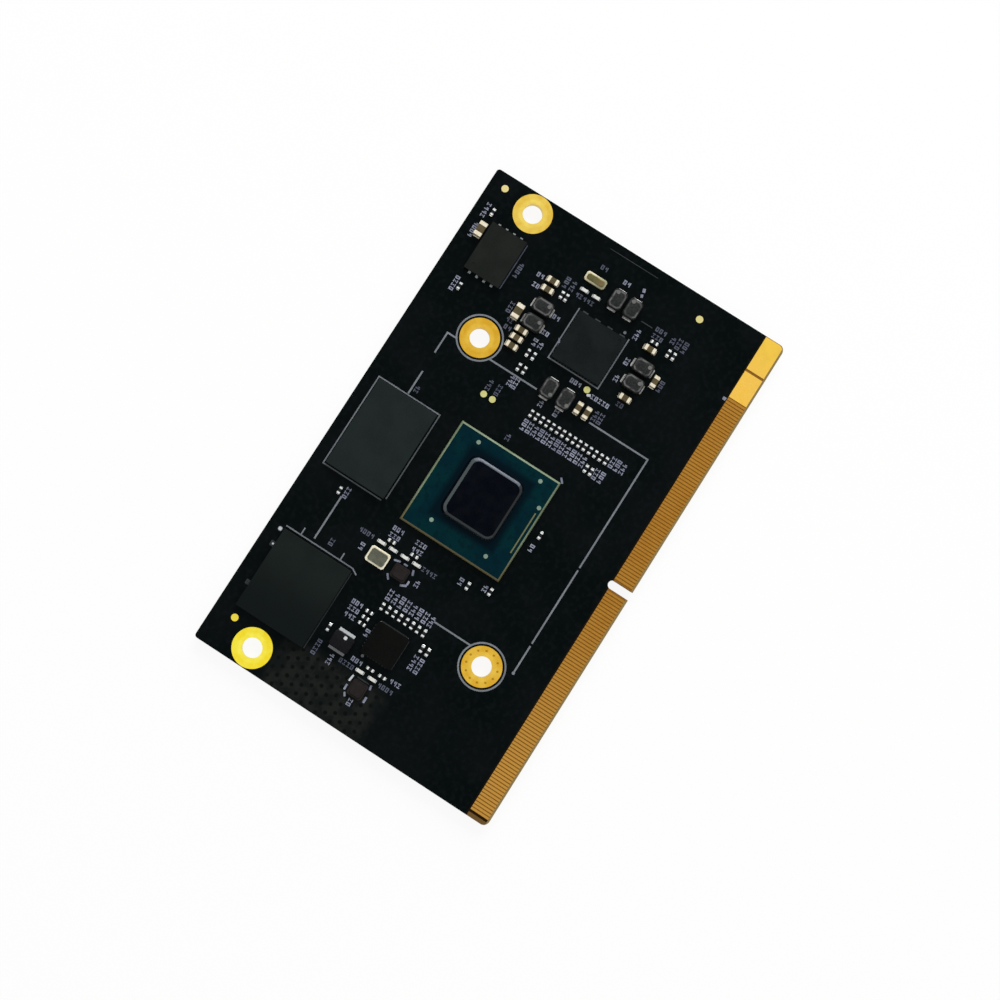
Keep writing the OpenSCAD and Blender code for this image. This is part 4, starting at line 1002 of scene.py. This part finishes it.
def makeStrokes(settings):
    thick = settings["thick"] * mm
    for kind, (finishName, roundShare) in settings["kinds"].items():
        bar = startCube("strokeMaster", (1, 1, 1), (0, 0, 0.5))
        bevelEdges(bar, upright, roundShare, settings["roundSegments"])
        places = []
        for x0, y0, x1, y1, wide in settings[kind]:
            length = math.hypot(x1 - x0, y1 - y0) + wide
            carrier = settings["lifted"].get((x0, y0))
            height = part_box(carrier)[1].z if carrier and kind == "bright" else deckHeight
            middle = Vector(((x0 + x1) / 2 * mm, (y0 + y1) / 2 * mm, height))
            places.append(placeAt(middle, math.atan2(y1 - y0, x1 - x0), (length * mm, wide * mm, thick)))
        piece = copiesOf(bar, f"{kind}Strokes", places)
        bpy.data.objects.remove(bar)
        finishPiece(piece, finishes[finishName], "printed_ink")


makeStrokes(strokeSettings)
print("printed marks ready")

# Floor, light and camera

stageSettings = {
    "floorSize": 4.0, "floorColor": (0.97, 0.97, 0.97, 1), "floorGlow": 0.9, "worldForLight": 0.5,
}


def seenRays(tree):
    # 1 for rays that show the background: camera, mirror and clear ones
    path = tree.nodes.new("ShaderNodeLightPath")
    shown = addMath(tree, "MAXIMUM", path.outputs["Is Camera Ray"], path.outputs["Is Glossy Ray"])
    return addMath(tree, "MAXIMUM", shown, path.outputs["Is Transmission Ray"])


def makeStage(settings):
    deselectAll()
    bpy.ops.mesh.primitive_plane_add(size=settings["floorSize"], location=(0, 0, cadLow.z))
    floor = bpy.context.object
    floor.name = "floor"
    material = bpy.data.materials.new("floorFinish")
    material.use_nodes = True
    tree = material.node_tree
    tree.nodes.clear()
    diffuse = tree.nodes.new("ShaderNodeBsdfDiffuse")
    diffuse.inputs["Color"].default_value = settings["floorColor"]
    glow = tree.nodes.new("ShaderNodeEmission")
    mix = tree.nodes.new("ShaderNodeMixShader")
    output = tree.nodes.new("ShaderNodeOutputMaterial")
    tree.links.new(addMath(tree, "MULTIPLY", seenRays(tree), settings["floorGlow"]), mix.inputs[0])
    tree.links.new(diffuse.outputs[0], mix.inputs[1])
    tree.links.new(glow.outputs[0], mix.inputs[2])
    tree.links.new(mix.outputs[0], output.inputs[0])
    floor.data.materials.append(material)
    world = bpy.data.worlds.new("studio")
    world.use_nodes = True
    bpy.context.scene.world = world
    tree = world.node_tree
    background = tree.nodes["Background"]
    background.inputs["Color"].default_value = (1, 1, 1, 1)
    level = settings["worldForLight"]
    strength = addMath(tree, "ADD", addMath(tree, "MULTIPLY", seenRays(tree), 1 - level), level)
    tree.links.new(strength, background.inputs["Strength"])


lampSettings = {
    "keyLamp": {"place": (0.88, 0.2, 0.42), "size": 0.75, "power": 11.0},
    "softLamp": {"place": (-0.75, -0.4, 0.75), "size": 0.8, "power": 1.0},
}


def makeLamps(settings):
    for name, lamp in settings.items():
        deselectAll()
        place = Vector(lamp["place"])
        bpy.ops.object.light_add(type="AREA", location=place)
        light = bpy.context.object
        light.name = name
        light.data.size = lamp["size"]
        light.data.energy = lamp["power"]
        light.rotation_euler = (-place).to_track_quat("-Z", "Y").to_euler()


cameraSettings = {
    "lens": 57.6, "place": (-15.85, 4.13, 235.0), "ahead": (0.08426, 0.0614, -0.99455),
    "up": (0.83641, 0.53813, 0.10409), "shift": (0.1, -0.1), "clip": (0.01, 10),
}


def makeCamera(settings):
    ahead = Vector(settings["ahead"]).normalized()
    side = ahead.cross(Vector(settings["up"])).normalized()
    up = side.cross(ahead)
    turn = Matrix((side, up, -ahead)).transposed().to_4x4()
    data = bpy.data.cameras.new("camera")
    data.lens = settings["lens"]
    data.shift_x, data.shift_y = settings["shift"]
    data.clip_start, data.clip_end = settings["clip"]
    camera = bpy.data.objects.new("camera", data)
    bpy.context.scene.collection.objects.link(camera)
    camera.matrix_world = Matrix.Translation(Vector(settings["place"]) * mm) @ turn
    bpy.context.scene.camera = camera


makeStage(stageSettings)
makeLamps(lampSettings)
makeCamera(cameraSettings)
bpy.context.scene.view_settings.view_transform = "Standard"
print("stage ready")
